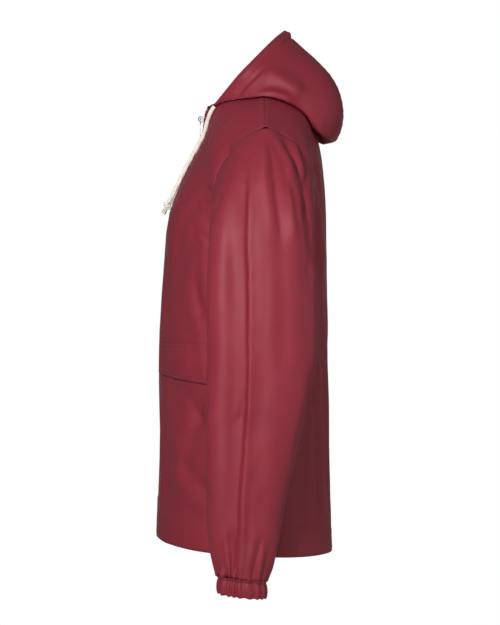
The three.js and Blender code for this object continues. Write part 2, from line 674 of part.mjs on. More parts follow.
// Cuff: a gathered ring of cloth below the sleeve
function cuffBody(side) {
  const end = sleeveSections[sleeveSections.length - 1];
  const steps = cuffGathers * 4;
  const heights = [0, 0.5, 1];
  const outer = [];
  const inner = [];
  for (const share of heights) {
    const outerRing = [];
    const innerRing = [];
    for (let k = 0; k < steps; k += 1) {
      const angle = 2 * Math.PI * k / steps;
      const wave = cuff.wave * Math.cos(cuffGathers * angle) * (share === 0.5 ? 0.75 : 1);
      const place = (out) => {
        return new THREE.Vector3(
          side * (end.x - (cuff.halfX + out) * Math.cos(angle)),
          end.y - (cuff.halfY + out) * Math.sin(angle),
          end.z - 2 * seamGap - share * cuff.height + cuff.tilt * end.halfY * Math.sin(angle),
        );
      };
      outerRing.push(place(wave));
      innerRing.push(place(wave - cloth));
    }
    outer.push(outerRing);
    inner.push(innerRing);
  }
  return closedBody(outer, inner, true);
}

// Solid swept through rings of points that all list the same outline
function sweptBody(rings, outline) {
  const positions = [];
  const faces = [];
  const count = outline.length;
  for (const ring of rings) {
    for (const point of ring) positions.push(point.x, point.y, point.z);
  }
  for (let r = 0; r < rings.length - 1; r += 1) {
    for (let k = 0; k < count; k += 1) {
      const [a, b] = [r * count + k, r * count + (k + 1) % count];
      faces.push(a, b, b + count, a, b + count, a + count);
    }
  }
  const top = (rings.length - 1) * count;
  for (const [a, b, c] of THREE.ShapeUtils.triangulateShape(outline, [])) {
    faces.push(a, c, b, top + a, top + b, top + c);
  }
  const geometry = new THREE.BufferGeometry();
  geometry.setAttribute('position', new THREE.Float32BufferAttribute(positions, 3));
  geometry.setIndex(faces);
  return facedOut(geometry);
}

// Zip: tape behind the fronts with the chain standing in the gap between them
function zipTapeBody(panel) {
  const back = cloth + zipTape.clearance;
  const outline = [
    [-zipTape.half, back], [-zipChain.half, back], [-zipChain.half, -zipChain.proud],
    [zipChain.half, -zipChain.proud], [zipChain.half, back], [zipTape.half, back],
    [zipTape.half, back + zipTape.thickness], [-zipTape.half, back + zipTape.thickness],
  ].map(([x, depth]) => new THREE.Vector2(x, depth));
  const rings = [];
  for (let row = 0; row <= neckCornerRow; row += 1) {
    const centre = panel.points[row][0];
    const nextX = panel.points[row][1].x;
    const normal = panel.normals[row][0].clone().setX(0).normalize();
    const extra = (turned - cloth) * (1 - ease(row, hemRows - 0.5, hemRows + 1.5));
    const raised = row === 0 ? 3 : 0;
    rings.push(outline.map(({ x, y: depth }) => {
      const behind = depth >= back ? extra : 0;
      const spread = Math.abs(x) > zipHalf;
      const column = spread ? (Math.abs(x) - centre.x) / (nextX - centre.x) : 0;
      const point = spread
        ? onPanel(panel, column, row, -depth - behind)
        : centre.clone().addScaledVector(normal, -depth - behind);
      point.x = x;
      point.z += raised;
      return point;
    }));
  }
  return sweptBody(rings, outline);
}

// Joins closed pieces into one solid
function joined(pieces) {
  let solid = null;
  for (const piece of pieces) {
    const geometry = piece.clone();
    geometry.deleteAttribute('normal');
    geometry.deleteAttribute('uv');
    const merged = mergeVertices(geometry, 1e-4);
    const mesh = new wasm.Mesh({
      numProp: 3,
      vertProperties: new Float32Array(merged.getAttribute('position').array),
      triVerts: new Uint32Array(merged.getIndex().array),
    });
    mesh.merge();
    const part = new wasm.Manifold(mesh);
    solid = solid ? solid.add(part) : part;
  }
  const result = solid.getMesh();
  const geometry = new THREE.BufferGeometry();
  geometry.setAttribute('position', new THREE.Float32BufferAttribute(result.vertProperties, 3));
  geometry.setIndex([...result.triVerts]);
  return geometry;
}

// Slider: a channel that holds the chain from in front, with a wire bail for the pull
function sliderBody(frontY) {
  const half = slider.width / 2;
  const outline = new THREE.Shape([
    new THREE.Vector2(-half, -slider.plate), new THREE.Vector2(half, -slider.plate),
    new THREE.Vector2(half, 0), new THREE.Vector2(-half, 0),
  ]);
  const plate = new THREE.ExtrudeGeometry(outline, { depth: slider.height, bevelEnabled: false });
  plate.translate(0, frontY, slider.topZ - slider.height);
  const middleZ = slider.topZ - slider.height / 2;
  const foot = frontY - slider.plate / 2;
  const tip = frontY - slider.plate - bail.reach + bail.wire / 2;
  const arch = new THREE.CatmullRomCurve3([
    new THREE.Vector3(0, foot, middleZ + bail.height / 2 - bail.wire / 2),
    new THREE.Vector3(0, mix(foot, tip, 0.75), middleZ + bail.height / 2 - bail.wire / 2),
    new THREE.Vector3(0, tip, middleZ),
    new THREE.Vector3(0, mix(foot, tip, 0.75), middleZ - bail.height / 2 + bail.wire / 2),
    new THREE.Vector3(0, foot, middleZ - bail.height / 2 + bail.wire / 2),
  ]);
  const wire = new THREE.Shape();
  wire.absellipse(0, 0, bail.wire / 2, bail.wire / 2, 0, 2 * Math.PI);
  const loop = new THREE.ExtrudeGeometry(wire, { steps: 12, curveSegments: 4, extrudePath: arch });
  return joined([plate, loop]);
}

// Pull: a flat eye, whose top bar lies inside the bail, with a narrow tail below it.
// Its own origin is on the hinge line, in the middle of that bar.
function pullBody() {
  const tailHalf = pull.tail / 2;
  const middle = (pull.bar - pull.eye) / 2;
  const start = Math.asin(tailHalf / (pull.width / 2));
  const shape = new THREE.Shape();
  shape.moveTo(tailHalf, -pull.length + tailHalf);
  shape.absellipse(0, middle, pull.width / 2, pull.eye / 2, start - Math.PI / 2, 1.5 * Math.PI - start, false);
  shape.lineTo(-tailHalf, -pull.length + tailHalf);
  shape.absarc(0, -pull.length + tailHalf, tailHalf, Math.PI, 2 * Math.PI, false);
  const hole = new THREE.Path();
  hole.absellipse(0, middle, pull.hole / 2, pull.eye / 2 - pull.bar, 0, 2 * Math.PI, true);
  shape.holes.push(hole);
  const geometry = new THREE.ExtrudeGeometry(shape, {
    depth: pull.thickness, bevelEnabled: false, curveSegments: 10,
  });
  geometry.translate(0, 0, -pull.thickness / 2);
  geometry.rotateX(Math.PI / 2);
  return geometry;
}

// Drawcord along its route, and the knot with its frayed end below
function cordCurve(side) {
  const places = cordRoute.map(({ x, y, z }) => new THREE.Vector3(side * x, y, z));
  return new THREE.CatmullRomCurve3(places, false, 'centripetal');
}

function cordBody(side) {
  const section = new THREE.Shape();
  section.absellipse(0, 0, cordDiameter / 2, cordDiameter / 2, 0, 2 * Math.PI);
  return new THREE.ExtrudeGeometry(section, {
    steps: 14, curveSegments: 4, extrudePath: cordCurve(side),
  });
}

function knotBody(side) {
  const curve = cordCurve(side);
  const end = curve.getPoint(1);
  const direction = curve.getTangent(1);
  const half = knot.height / 2;
  const profile = [
    [0, 0], [cordDiameter / 2, 0.1], [knot.radius, half * 0.6], [knot.radius, half * 1.3],
    [knot.tailRadius, knot.height], [knot.tailRadius, knot.height + knot.tail], [0, knot.height + knot.tail],
  ].map(([radius, along]) => new THREE.Vector2(radius, along));
  const geometry = new THREE.LatheGeometry(profile, 10);
  geometry.translate(0, 0.3, 0);
  const turn = new THREE.Quaternion().setFromUnitVectors(new THREE.Vector3(0, 1, 0), direction);
  geometry.applyQuaternion(turn);
  geometry.translate(end.x, end.y, end.z);
  return geometry;
}

const clothColour = 0x8c3040;
const metalColour = 0x9a9a9c;
const cordColour = 0xe9e0d2;
const coat = new THREE.Group();

function addPiece(name, geometry, colour, roughness, metalness, place) {
  const material = new THREE.MeshStandardMaterial({ color: colour, roughness, metalness });
  material.name = name;
  const mesh = new THREE.Mesh(geometry, material);
  mesh.name = name;
  if (place) mesh.position.copy(place);
  coat.add(mesh);
}

const addCloth = (name, geometry) => addPiece(name, geometry, clothColour, 0.55, 0);

// Torso and sleeves settle together, because they share their seams
const leftSleeve = sleeveGrid();
const body = settle([
  { name: 'front_left', points: frontGrid, closed: false, flip: false },
  { name: 'front_right', points: mirrorGrid(frontGrid), closed: false, flip: true },
  { name: 'back_panel', points: backGrid, closed: false, flip: true, openAfter: frontColumns },
  { name: 'sleeve_left', points: leftSleeve, closed: true, flip: true },
  { name: 'sleeve_right', points: mirrorGrid(leftSleeve), closed: true, flip: false },
]);

const torsoThickness = (_, r) => mix(turned, cloth, ease(r, hemRows - 0.5, hemRows + 0.5));
for (const name of ['front_left', 'front_right', 'back_panel']) {
  addCloth(name, panelWall(body[name], torsoThickness));
}
for (const name of ['sleeve_left', 'sleeve_right']) addCloth(name, panelWall(body[name]));
addCloth('cuff_left', cuffBody(1));
addCloth('cuff_right', cuffBody(-1));

// Hood
const leftHood = hoodGrid(body.front_left, body.back_panel);
const hood = settle([
  { name: 'hood_left', points: leftHood, closed: false, flip: false },
  { name: 'hood_right', points: mirrorGrid(leftHood), closed: false, flip: true },
]);
const hoodThickness = (_, r) => (r * 330 / hoodRows < casingWidth ? turned : cloth);
addCloth('hood_left', panelWall(hood.hood_left, hoodThickness));
addCloth('hood_right', panelWall(hood.hood_right, hoodThickness));

// Pocket flaps
for (const side of ['left', 'right']) {
  const columns = linesBetween(flap.inner, flap.outer);
  const rowsAt = (c) => {
    const across = (c - flap.inner) / (flap.outer - flap.inner);
    const bottom = torsoRowAt(mix(flap.innerBottom, flap.outerBottom, across));
    const top = torsoRowAt(flap.top);
    return [bottom, Math.floor(top), top];
  };
  const geometry = laidPiece(body[`front_${side}`], columns, rowsAt, (k) => flapLifts[k], flap.cloth);
  addCloth(`flap_${side}`, geometry);
}

// Zip, slider and pull
addPiece('zip_tape', zipTapeBody(body.front_left), 0x6f2633, 0.6, 0);
const sliderFrontY = columnAtZ(torsoSections, 'front', slider.topZ - slider.height)
  - zipChain.proud - slider.gap;
addPiece('zip_slider', sliderBody(sliderFrontY), metalColour, 0.35, 0.9);
const hinge = new THREE.Vector3(
  0,
  sliderFrontY - slider.plate - pull.seat,
  slider.topZ - slider.height / 2 + pull.bar / 2,
);
addPiece('zip_pull', pullBody(), metalColour, 0.35, 0.9, hinge);

// Drawcords
for (const [name, side] of [['left', 1], ['right', -1]]) {
  addPiece(`drawcord_${name}`, cordBody(side), cordColour, 0.9, 0);
  addPiece(`knot_${name}`, knotBody(side), cordColour, 0.9, 0);
}

export default coat;
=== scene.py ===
# A hooded raincoat in coated cotton, worn by nobody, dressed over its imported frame.
# Metres, +Z up; the fronts face -Y and the wearer's left is +X.
import math
import random

import bmesh
import bpy
import numpy as np
from mathutils import Matrix, Vector
from mathutils.bvhtree import BVHTree
from mathutils.kdtree import KDTree


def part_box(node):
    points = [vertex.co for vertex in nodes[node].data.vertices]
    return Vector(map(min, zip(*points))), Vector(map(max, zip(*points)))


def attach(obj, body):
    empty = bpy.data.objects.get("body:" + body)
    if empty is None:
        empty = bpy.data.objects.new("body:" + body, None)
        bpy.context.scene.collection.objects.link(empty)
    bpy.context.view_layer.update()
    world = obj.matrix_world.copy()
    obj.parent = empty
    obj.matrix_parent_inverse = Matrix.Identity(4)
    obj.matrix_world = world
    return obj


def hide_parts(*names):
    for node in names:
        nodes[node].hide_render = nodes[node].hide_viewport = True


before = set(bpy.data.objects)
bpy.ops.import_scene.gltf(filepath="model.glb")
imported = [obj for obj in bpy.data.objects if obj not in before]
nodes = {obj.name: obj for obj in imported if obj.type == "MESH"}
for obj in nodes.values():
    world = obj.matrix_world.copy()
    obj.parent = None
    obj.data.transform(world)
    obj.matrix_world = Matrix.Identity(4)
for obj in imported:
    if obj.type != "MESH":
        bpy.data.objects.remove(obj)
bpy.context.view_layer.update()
sides = {"left": 1, "right": -1}
print("frame loaded:", len(nodes), "nodes")

# Camera: a side view from the wearer's left, at the height of the coat's middle
view = {
    "place": (3.4034, -0.0186, -0.332),
    "lens": 126.4,
    "sensorHeight": 36,
}
cameraData = bpy.data.cameras.new("camera")
cameraData.sensor_fit = "VERTICAL"
cameraData.sensor_height = view["sensorHeight"]
cameraData.lens = view["lens"]
cameraData.clip_end = 50
camera = bpy.data.objects.new("camera", cameraData)
camera.location = view["place"]
camera.rotation_euler = (math.pi / 2, 0, math.pi / 2)
bpy.context.scene.collection.objects.link(camera)
bpy.context.scene.camera = camera


def newObject(name, mesh):
    piece = bpy.data.objects.new(name, mesh)
    bpy.context.scene.collection.objects.link(piece)
    return piece


def meshObject(name, bm, smooth=True):
    mesh = bpy.data.meshes.new(name)
    bm.to_mesh(mesh)
    bm.free()
    mesh.shade_smooth() if smooth else mesh.shade_flat()
    return newObject(name, mesh)


def applyModifiers(piece):
    depsgraph = bpy.context.evaluated_depsgraph_get()
    finished = bpy.data.meshes.new_from_object(piece.evaluated_get(depsgraph))
    piece.modifiers.clear()
    old = piece.data
    piece.data = finished
    bpy.data.meshes.remove(old)


def places(mesh):
    flat = np.empty(len(mesh.vertices) * 3)
    mesh.vertices.foreach_get("co", flat)
    return flat.reshape(-1, 3)


def setPlaces(mesh, points):
    mesh.vertices.foreach_set("co", points.ravel())
    mesh.update()


def vertexNormals(mesh):
    flat = np.empty(len(mesh.vertices) * 3)
    mesh.vertex_normals.foreach_get("vector", flat)
    return flat.reshape(-1, 3)


def easeBetween(value, low, high):
    t = np.clip((value - low) / (high - low), 0, 1)
    return t * t * (3 - 2 * t)


def softNoise(points, size, seed, waves=7):
    # Smooth unevenness of about -1 to 1, with bumps of the given size
    dice = random.Random(seed)
    total = np.zeros(len(points))
    for wave in range(waves):
        direction = Vector((dice.gauss(0, 1), dice.gauss(0, 1), dice.gauss(0, 1))).normalized()
        length = size * dice.uniform(0.7, 1.5)
        phase = dice.uniform(0, 2 * math.pi)
        total += np.sin(points @ np.array(direction) * (2 * math.pi / length) + phase)
    return total / math.sqrt(waves)


# Drawcords: twisted cotton, out of the hood casing and down the chest to a knot with a frayed end
cordDetail = {
    "diameter": 0.0068,
    "strands": 3,
    "strandDepth": 0.17,
    "twistLength": 0.02,
    "stepLength": 0.0011,
    "around": 24,
}
cordRoute = [
    (0.0588, -0.0728, -0.018), (0.0576, -0.0766, -0.0236), (0.0556, -0.0804, -0.0304),
    (0.0526, -0.0829, -0.0381), (0.0492, -0.0854, -0.0462), (0.0455, -0.0881, -0.0551),
    (0.042, -0.0918, -0.0638), (0.0387, -0.0964, -0.0727), (0.0357, -0.1012, -0.0814),
    (0.0333, -0.1065, -0.0903), (0.0316, -0.1116, -0.0993), (0.0303, -0.1164, -0.1083),
    (0.0292, -0.1211, -0.1174), (0.0284, -0.1255, -0.1265), (0.0278, -0.13, -0.1355),
    (0.0274, -0.1344, -0.1445), (0.0271, -0.1389, -0.1536), (0.027, -0.1434, -0.1616),
]


def throughPoints(route, stepLength):
    # Evenly spaced points on a smooth curve through a route
    fine = []
    last = len(route) - 1
    for i in range(last):
        a, b, c, d = [Vector(route[min(max(k, 0), last)]) for k in (i - 1, i, i + 1, i + 2)]
        for k in range(12):
            t = k / 12
            bend = (2 * b + (c - a) * t + (2 * a - 5 * b + 4 * c - d) * t * t
                    + (3 * b - a - 3 * c + d) * t ** 3) / 2
            fine.append(bend)
    fine.append(Vector(route[last]))
    total = sum((fine[i + 1] - fine[i]).length for i in range(len(fine) - 1))
    steps = max(2, round(total / stepLength))
    spaced = [fine[0]]
    passed = 0.0
    wanted = total / steps
    for i in range(len(fine) - 1):
        length = (fine[i + 1] - fine[i]).length
        while passed + length >= wanted - 1e-9 and len(spaced) < steps:
            spaced.append(fine[i].lerp(fine[i + 1], (wanted - passed) / length))
            wanted += total / steps
        passed += length
    spaced.append(fine[-1])
    return spaced, total


def growRing(bm, ring, edges):
    # Extrudes a ring of edges by one step, and gives the new ring in the same order
    grown = bmesh.ops.extrude_edge_only(bm, edges=edges)["geom"]
    made = {item for item in grown if isinstance(item, bmesh.types.BMVert)}
    newRing = []
    for vert in ring:
        beside = [edge.other_vert(vert) for edge in vert.link_edges]
        newRing.append(next(far for far in beside if far in made))
    newEdges = [item for item in grown if isinstance(item, bmesh.types.BMEdge) and set(item.verts) <= made]
    return newRing, newEdges


def sweepRing(bm, route, ringAt):
    # Extrudes a closed ring along a route; ringAt gives a radius for each angle and step
    tangent = (route[1] - route[0]).normalized()
    side = tangent.orthogonal().normalized()
    around = ringAt["around"]
    ring = bmesh.ops.create_circle(bm, segments=around, radius=1)["verts"]
    edges = list({edge for vert in ring for edge in vert.link_edges})
    bmesh.ops.contextual_create(bm, geom=edges)
    for i, place in enumerate(route):
        nextPlace = route[min(i + 1, len(route) - 1)]
        previous = route[max(i - 1, 0)]
        tangent = (nextPlace - previous).normalized()
        side = (side - tangent * side.dot(tangent)).normalized()
        other = tangent.cross(side)
        if i > 0:
            ring, edges = growRing(bm, ring, edges)
        for k, vert in enumerate(ring):
            angle = 2 * math.pi * k / around
            radius = ringAt["radius"](angle, i)
            vert.co = place + (side * math.cos(angle) + other * math.sin(angle)) * radius
    bmesh.ops.contextual_create(bm, geom=edges)


def twistedRadius(diameter, turnSteps, strandDepth, strands, hand):
    # Radius of a twisted cord: it turns once in turnSteps steps, to the left or right by its hand
    def radius(angle, step):
        lobe = (angle + hand * 2 * math.pi * step / turnSteps) * strands
        shape = abs(math.cos(lobe / 2)) ** 0.7
        return diameter / 2 * (1 - strandDepth + strandDepth * shape)
    return radius


def makeCord(side, name):
    route = [(side * x, y, z) for x, y, z in cordRoute]
    spaced, length = throughPoints(route, cordDetail["stepLength"])
    bm = bmesh.new()
    turnSteps = cordDetail["strands"] * cordDetail["twistLength"] / cordDetail["stepLength"]
    ringAt = {
        "around": cordDetail["around"],
        "radius": twistedRadius(cordDetail["diameter"], turnSteps, cordDetail["strandDepth"],
                                cordDetail["strands"], side),
    }
    sweepRing(bm, spaced, ringAt)
    bmesh.ops.recalc_face_normals(bm, faces=bm.faces)
    return meshObject(name, bm), spaced, length


knotDetail = {
    "loopSize": 0.00165,
    "loopShape": (0.82, 0.9, 1.5),      # across, deep and along, as shares of a trefoil's
    "loopSteps": 110,
    "strandRadius": 0.0021,
    "strandDepth": 0.16,
    "strandTurn": 9,                    # steps of the loop in one turn of its strands
    "around": 12,
    "below": 0.0052,
    "frayStrands": 26,
    "frayFrom": 0.0085,
    "frayLength": 0.0125,
    "frayNear": 0.0012,
    "fraySpread": 0.0021,
    "frayBend": 0.0016,
    "frayRadius": 0.00042,
}


def makeKnot(side, name, cordEnd, direction):
    # Overhand knot, pulled tight into a lump, with the cord's strands frayed out below it
    bm = bmesh.new()
    size = knotDetail["loopSize"]
    wide, deepShare, tall = knotDetail["loopShape"]
    centre = cordEnd + direction * knotDetail["below"]
    side1 = direction.orthogonal().normalized()
    side2 = direction.cross(side1)
    route = []
    for k in range(knotDetail["loopSteps"] + 1):
        t = 2 * math.pi * k / knotDetail["loopSteps"]
        across = size * (math.sin(t) + 2 * math.sin(2 * t)) * wide
        deep = size * (math.cos(t) - 2 * math.cos(2 * t)) * deepShare
        along = -size * math.sin(3 * t) * tall
        route.append(centre + side1 * across + direction * deep + side2 * along)
    ringAt = {
        "around": knotDetail["around"],
        "radius": twistedRadius(knotDetail["strandRadius"] * 2, knotDetail["strandTurn"],
                                knotDetail["strandDepth"], cordDetail["strands"], side),
    }
    sweepRing(bm, route, ringAt)
    dice = random.Random(31 + side)
    start = cordEnd + direction * knotDetail["frayFrom"]
    for strand in range(knotDetail["frayStrands"]):
        turn = 2 * math.pi * dice.random()
        spread = dice.uniform(0.2, 1)
        outward = side1 * math.cos(turn) + side2 * math.sin(turn)
        length = knotDetail["frayLength"] * dice.uniform(0.6, 1)
        bend = dice.uniform(-knotDetail["frayBend"], knotDetail["frayBend"])
        points = []
        for k in range(7):
            t = k / 6
            away = (knotDetail["frayNear"] + knotDetail["fraySpread"] * t) * spread + bend * t * t
            points.append(start + direction * length * t + outward * away)
        thin = knotDetail["frayRadius"]
        frayRing = {"around": 5, "radius": lambda angle, step: thin * (1 - 0.07 * step)}
        sweepRing(bm, points, frayRing)
    bmesh.ops.recalc_face_normals(bm, faces=bm.faces)
    return meshObject(name, bm)


cords = {}
for sideName, side in sides.items():
    cord, cordPath, cordLength = makeCord(side, f"cotton_drawcord_{sideName}")
    cordDirection = (cordPath[-1] - cordPath[-4]).normalized()
    knot = makeKnot(side, f"cord_knot_{sideName}", cordPath[-1], cordDirection)
    for piece, node in ((cord, f"drawcord_{sideName}"), (knot, f"knot_{sideName}")):
        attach(piece, "coat")
        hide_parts(node)
    [tuple(point) for point in cordPath[::6]] + [tuple(cordPath[-1])]
    cords[sideName] = (cord, knot)
print("drawcords laid, each", round(cordLength, 4), "m")


# Sheets of cloth: each takes the outer face of its solid, made smooth
sheetDetail = {
    "thickness": 0.0012,
    "rimWidth": 0.0029,      # faces narrower than this are the rims of the solid wall
    "fineness": 3,
}


def outerFace(node):
    # The outer sheet of a solid cloth wall, as a bmesh of square cells
    bm = bmesh.new()
    bm.from_mesh(nodes[node].data)
    bmesh.ops.remove_doubles(bm, verts=bm.verts, dist=2e-5)
    rim = [f for f in bm.faces if min(e.calc_length() for e in f.edges) < sheetDetail["rimWidth"]]
    bmesh.ops.delete(bm, geom=rim, context="FACES")
    loose = [vert for vert in bm.verts if not vert.link_faces]
    bmesh.ops.delete(bm, geom=loose, context="VERTS")
    unseen = set(bm.faces)
    sheets = []
    while unseen:
        sheet = [unseen.pop()]
        for face in sheet:
            for edge in face.edges:
                for other in edge.link_faces:
                    if other in unseen:
                        unseen.remove(other)
                        sheet.append(other)
        sheets.append(sheet)
    sheets.sort(key=len, reverse=True)
    areas = [sum(face.calc_area() for face in sheet) for sheet in sheets[:2]]
    outer = sheets[0] if areas[0] > areas[1] else sheets[1]
    keep = set(outer)
    bmesh.ops.delete(bm, geom=[face for face in bm.faces if face not in keep], context="FACES")
    bmesh.ops.delete(bm, geom=[vert for vert in bm.verts if not vert.link_faces], context="VERTS")
    bmesh.ops.join_triangles(bm, faces=bm.faces, angle_face_threshold=math.pi,
                             angle_shape_threshold=math.pi, topology_influence=2)
    return bm


def smoothSheet(node, name, fineness):
    piece = meshObject(name, outerFace(node))
    subdivision = piece.modifiers.new("smooth", "SUBSURF")
    subdivision.levels = fineness
    subdivision.render_levels = fineness
    subdivision.boundary_smooth = "PRESERVE_CORNERS"
    applyModifiers(piece)
    return piece


sheets = {}
for node in ("front_left", "front_right", "back_panel", "sleeve_left", "sleeve_right"):
    sheets[node] = smoothSheet(node, f"{node}_cloth", sheetDetail["fineness"])
print("sheets:", {name: len(piece.data.polygons) for name, piece in sheets.items()})


def edgeRuns(piece):
    # Boundary of a sheet as closed loops of vertex numbers, in order
    bm = bmesh.new()
    bm.from_mesh(piece.data)
    bm.verts.ensure_lookup_table()
    left = {vert for vert in bm.verts if vert.is_boundary}
    loops = []
    while left:
        vert = min(left, key=lambda item: item.index)
        loop = []
        while vert is not None:
            loop.append(vert.index)
            left.discard(vert)
            ahead = [edge.other_vert(vert) for edge in vert.link_edges if edge.is_boundary]
            vert = next((item for item in ahead if item in left), None)
        loops.append(loop)
    bm.free()
    return loops


# Seams: which edge of which piece a boundary point belongs to
edgeLimits = {
    "hemZ": -0.66, "hemX": 0.2282,
    "zipX": 0.007, "zipTopZ": -0.0203,
    "neckZ": -0.0265, "neckX": 0.0815,
    "shoulderZ": -0.075, "shoulderY": 0.004, "shoulderHalf": 0.005,
    "underarmZ": -0.2402,
    "sleeveMiddleZ": -0.4,
}


def torsoEdge(point):
    x, y, z = abs(point[0]), point[1], point[2]
    if z < edgeLimits["hemZ"] and x < edgeLimits["hemX"]:
        return "hem"
    if x < edgeLimits["zipX"] and z < edgeLimits["zipTopZ"] and y < 0:
        return "zip"
    if z > edgeLimits["neckZ"] and x < edgeLimits["neckX"]:
        return "neck"
    if z > edgeLimits["shoulderZ"] and abs(y - edgeLimits["shoulderY"]) < edgeLimits["shoulderHalf"]:
        return "shoulder"
    return "armhole" if z > edgeLimits["underarmZ"] else "side"


def sleeveEdge(point):
    return "armhole" if point[2] > edgeLimits["sleeveMiddleZ"] else "cuff"


seams = {}


def findSeams(name, piece, edgeOf):
    # Points of each kind of edge, in order along the boundary
    points = places(piece.data)
    found = {}
    for loop in edgeRuns(piece):
        kinds = [edgeOf(points[index]) for index in loop]
        start = next((i for i in range(len(loop)) if kinds[i] != kinds[i - 1]), 0)
        order = loop[start:] + loop[:start]
        run = []
        lastKind = None
        for index, kind in zip(order, kinds[start:] + kinds[:start]):
            if kind != lastKind and run:
                found.setdefault(lastKind, []).append(run)
                run = [run[-1]]
            run.append(index)
            lastKind = kind
        found.setdefault(lastKind, []).append(run)
        if len(found) == 1 or start == 0:
            run.append(order[0])
    seams[name] = found


for name, piece in sheets.items():
    findSeams(name, piece, sleeveEdge if name.startswith("sleeve") else torsoEdge)


def weldedNormals(names):
    # Vertex normals of each sheet, shared across the seams
    allNormals = {name: vertexNormals(sheets[name].data) for name in names}
    edgePoints = []
    for name in names:
        points = places(sheets[name].data)
        for runs in seams[name].values():
            for run in runs:
                edgePoints += [(name, index, points[index]) for index in run]
    tree = KDTree(len(edgePoints))
    for k, (name, index, point) in enumerate(edgePoints):
        tree.insert(point, k)
    tree.balance()
    shared = {}
    for name, index, point in edgePoints:
        total = np.zeros(3)
        for _, k, _ in tree.find_range(point, 0.0012):
            other, otherIndex, _ = edgePoints[k]
            total += allNormals[other][otherIndex]
        shared[(name, index)] = total / np.linalg.norm(total)
    for (name, index), normal in shared.items():
        allNormals[name][index] = normal
    return allNormals


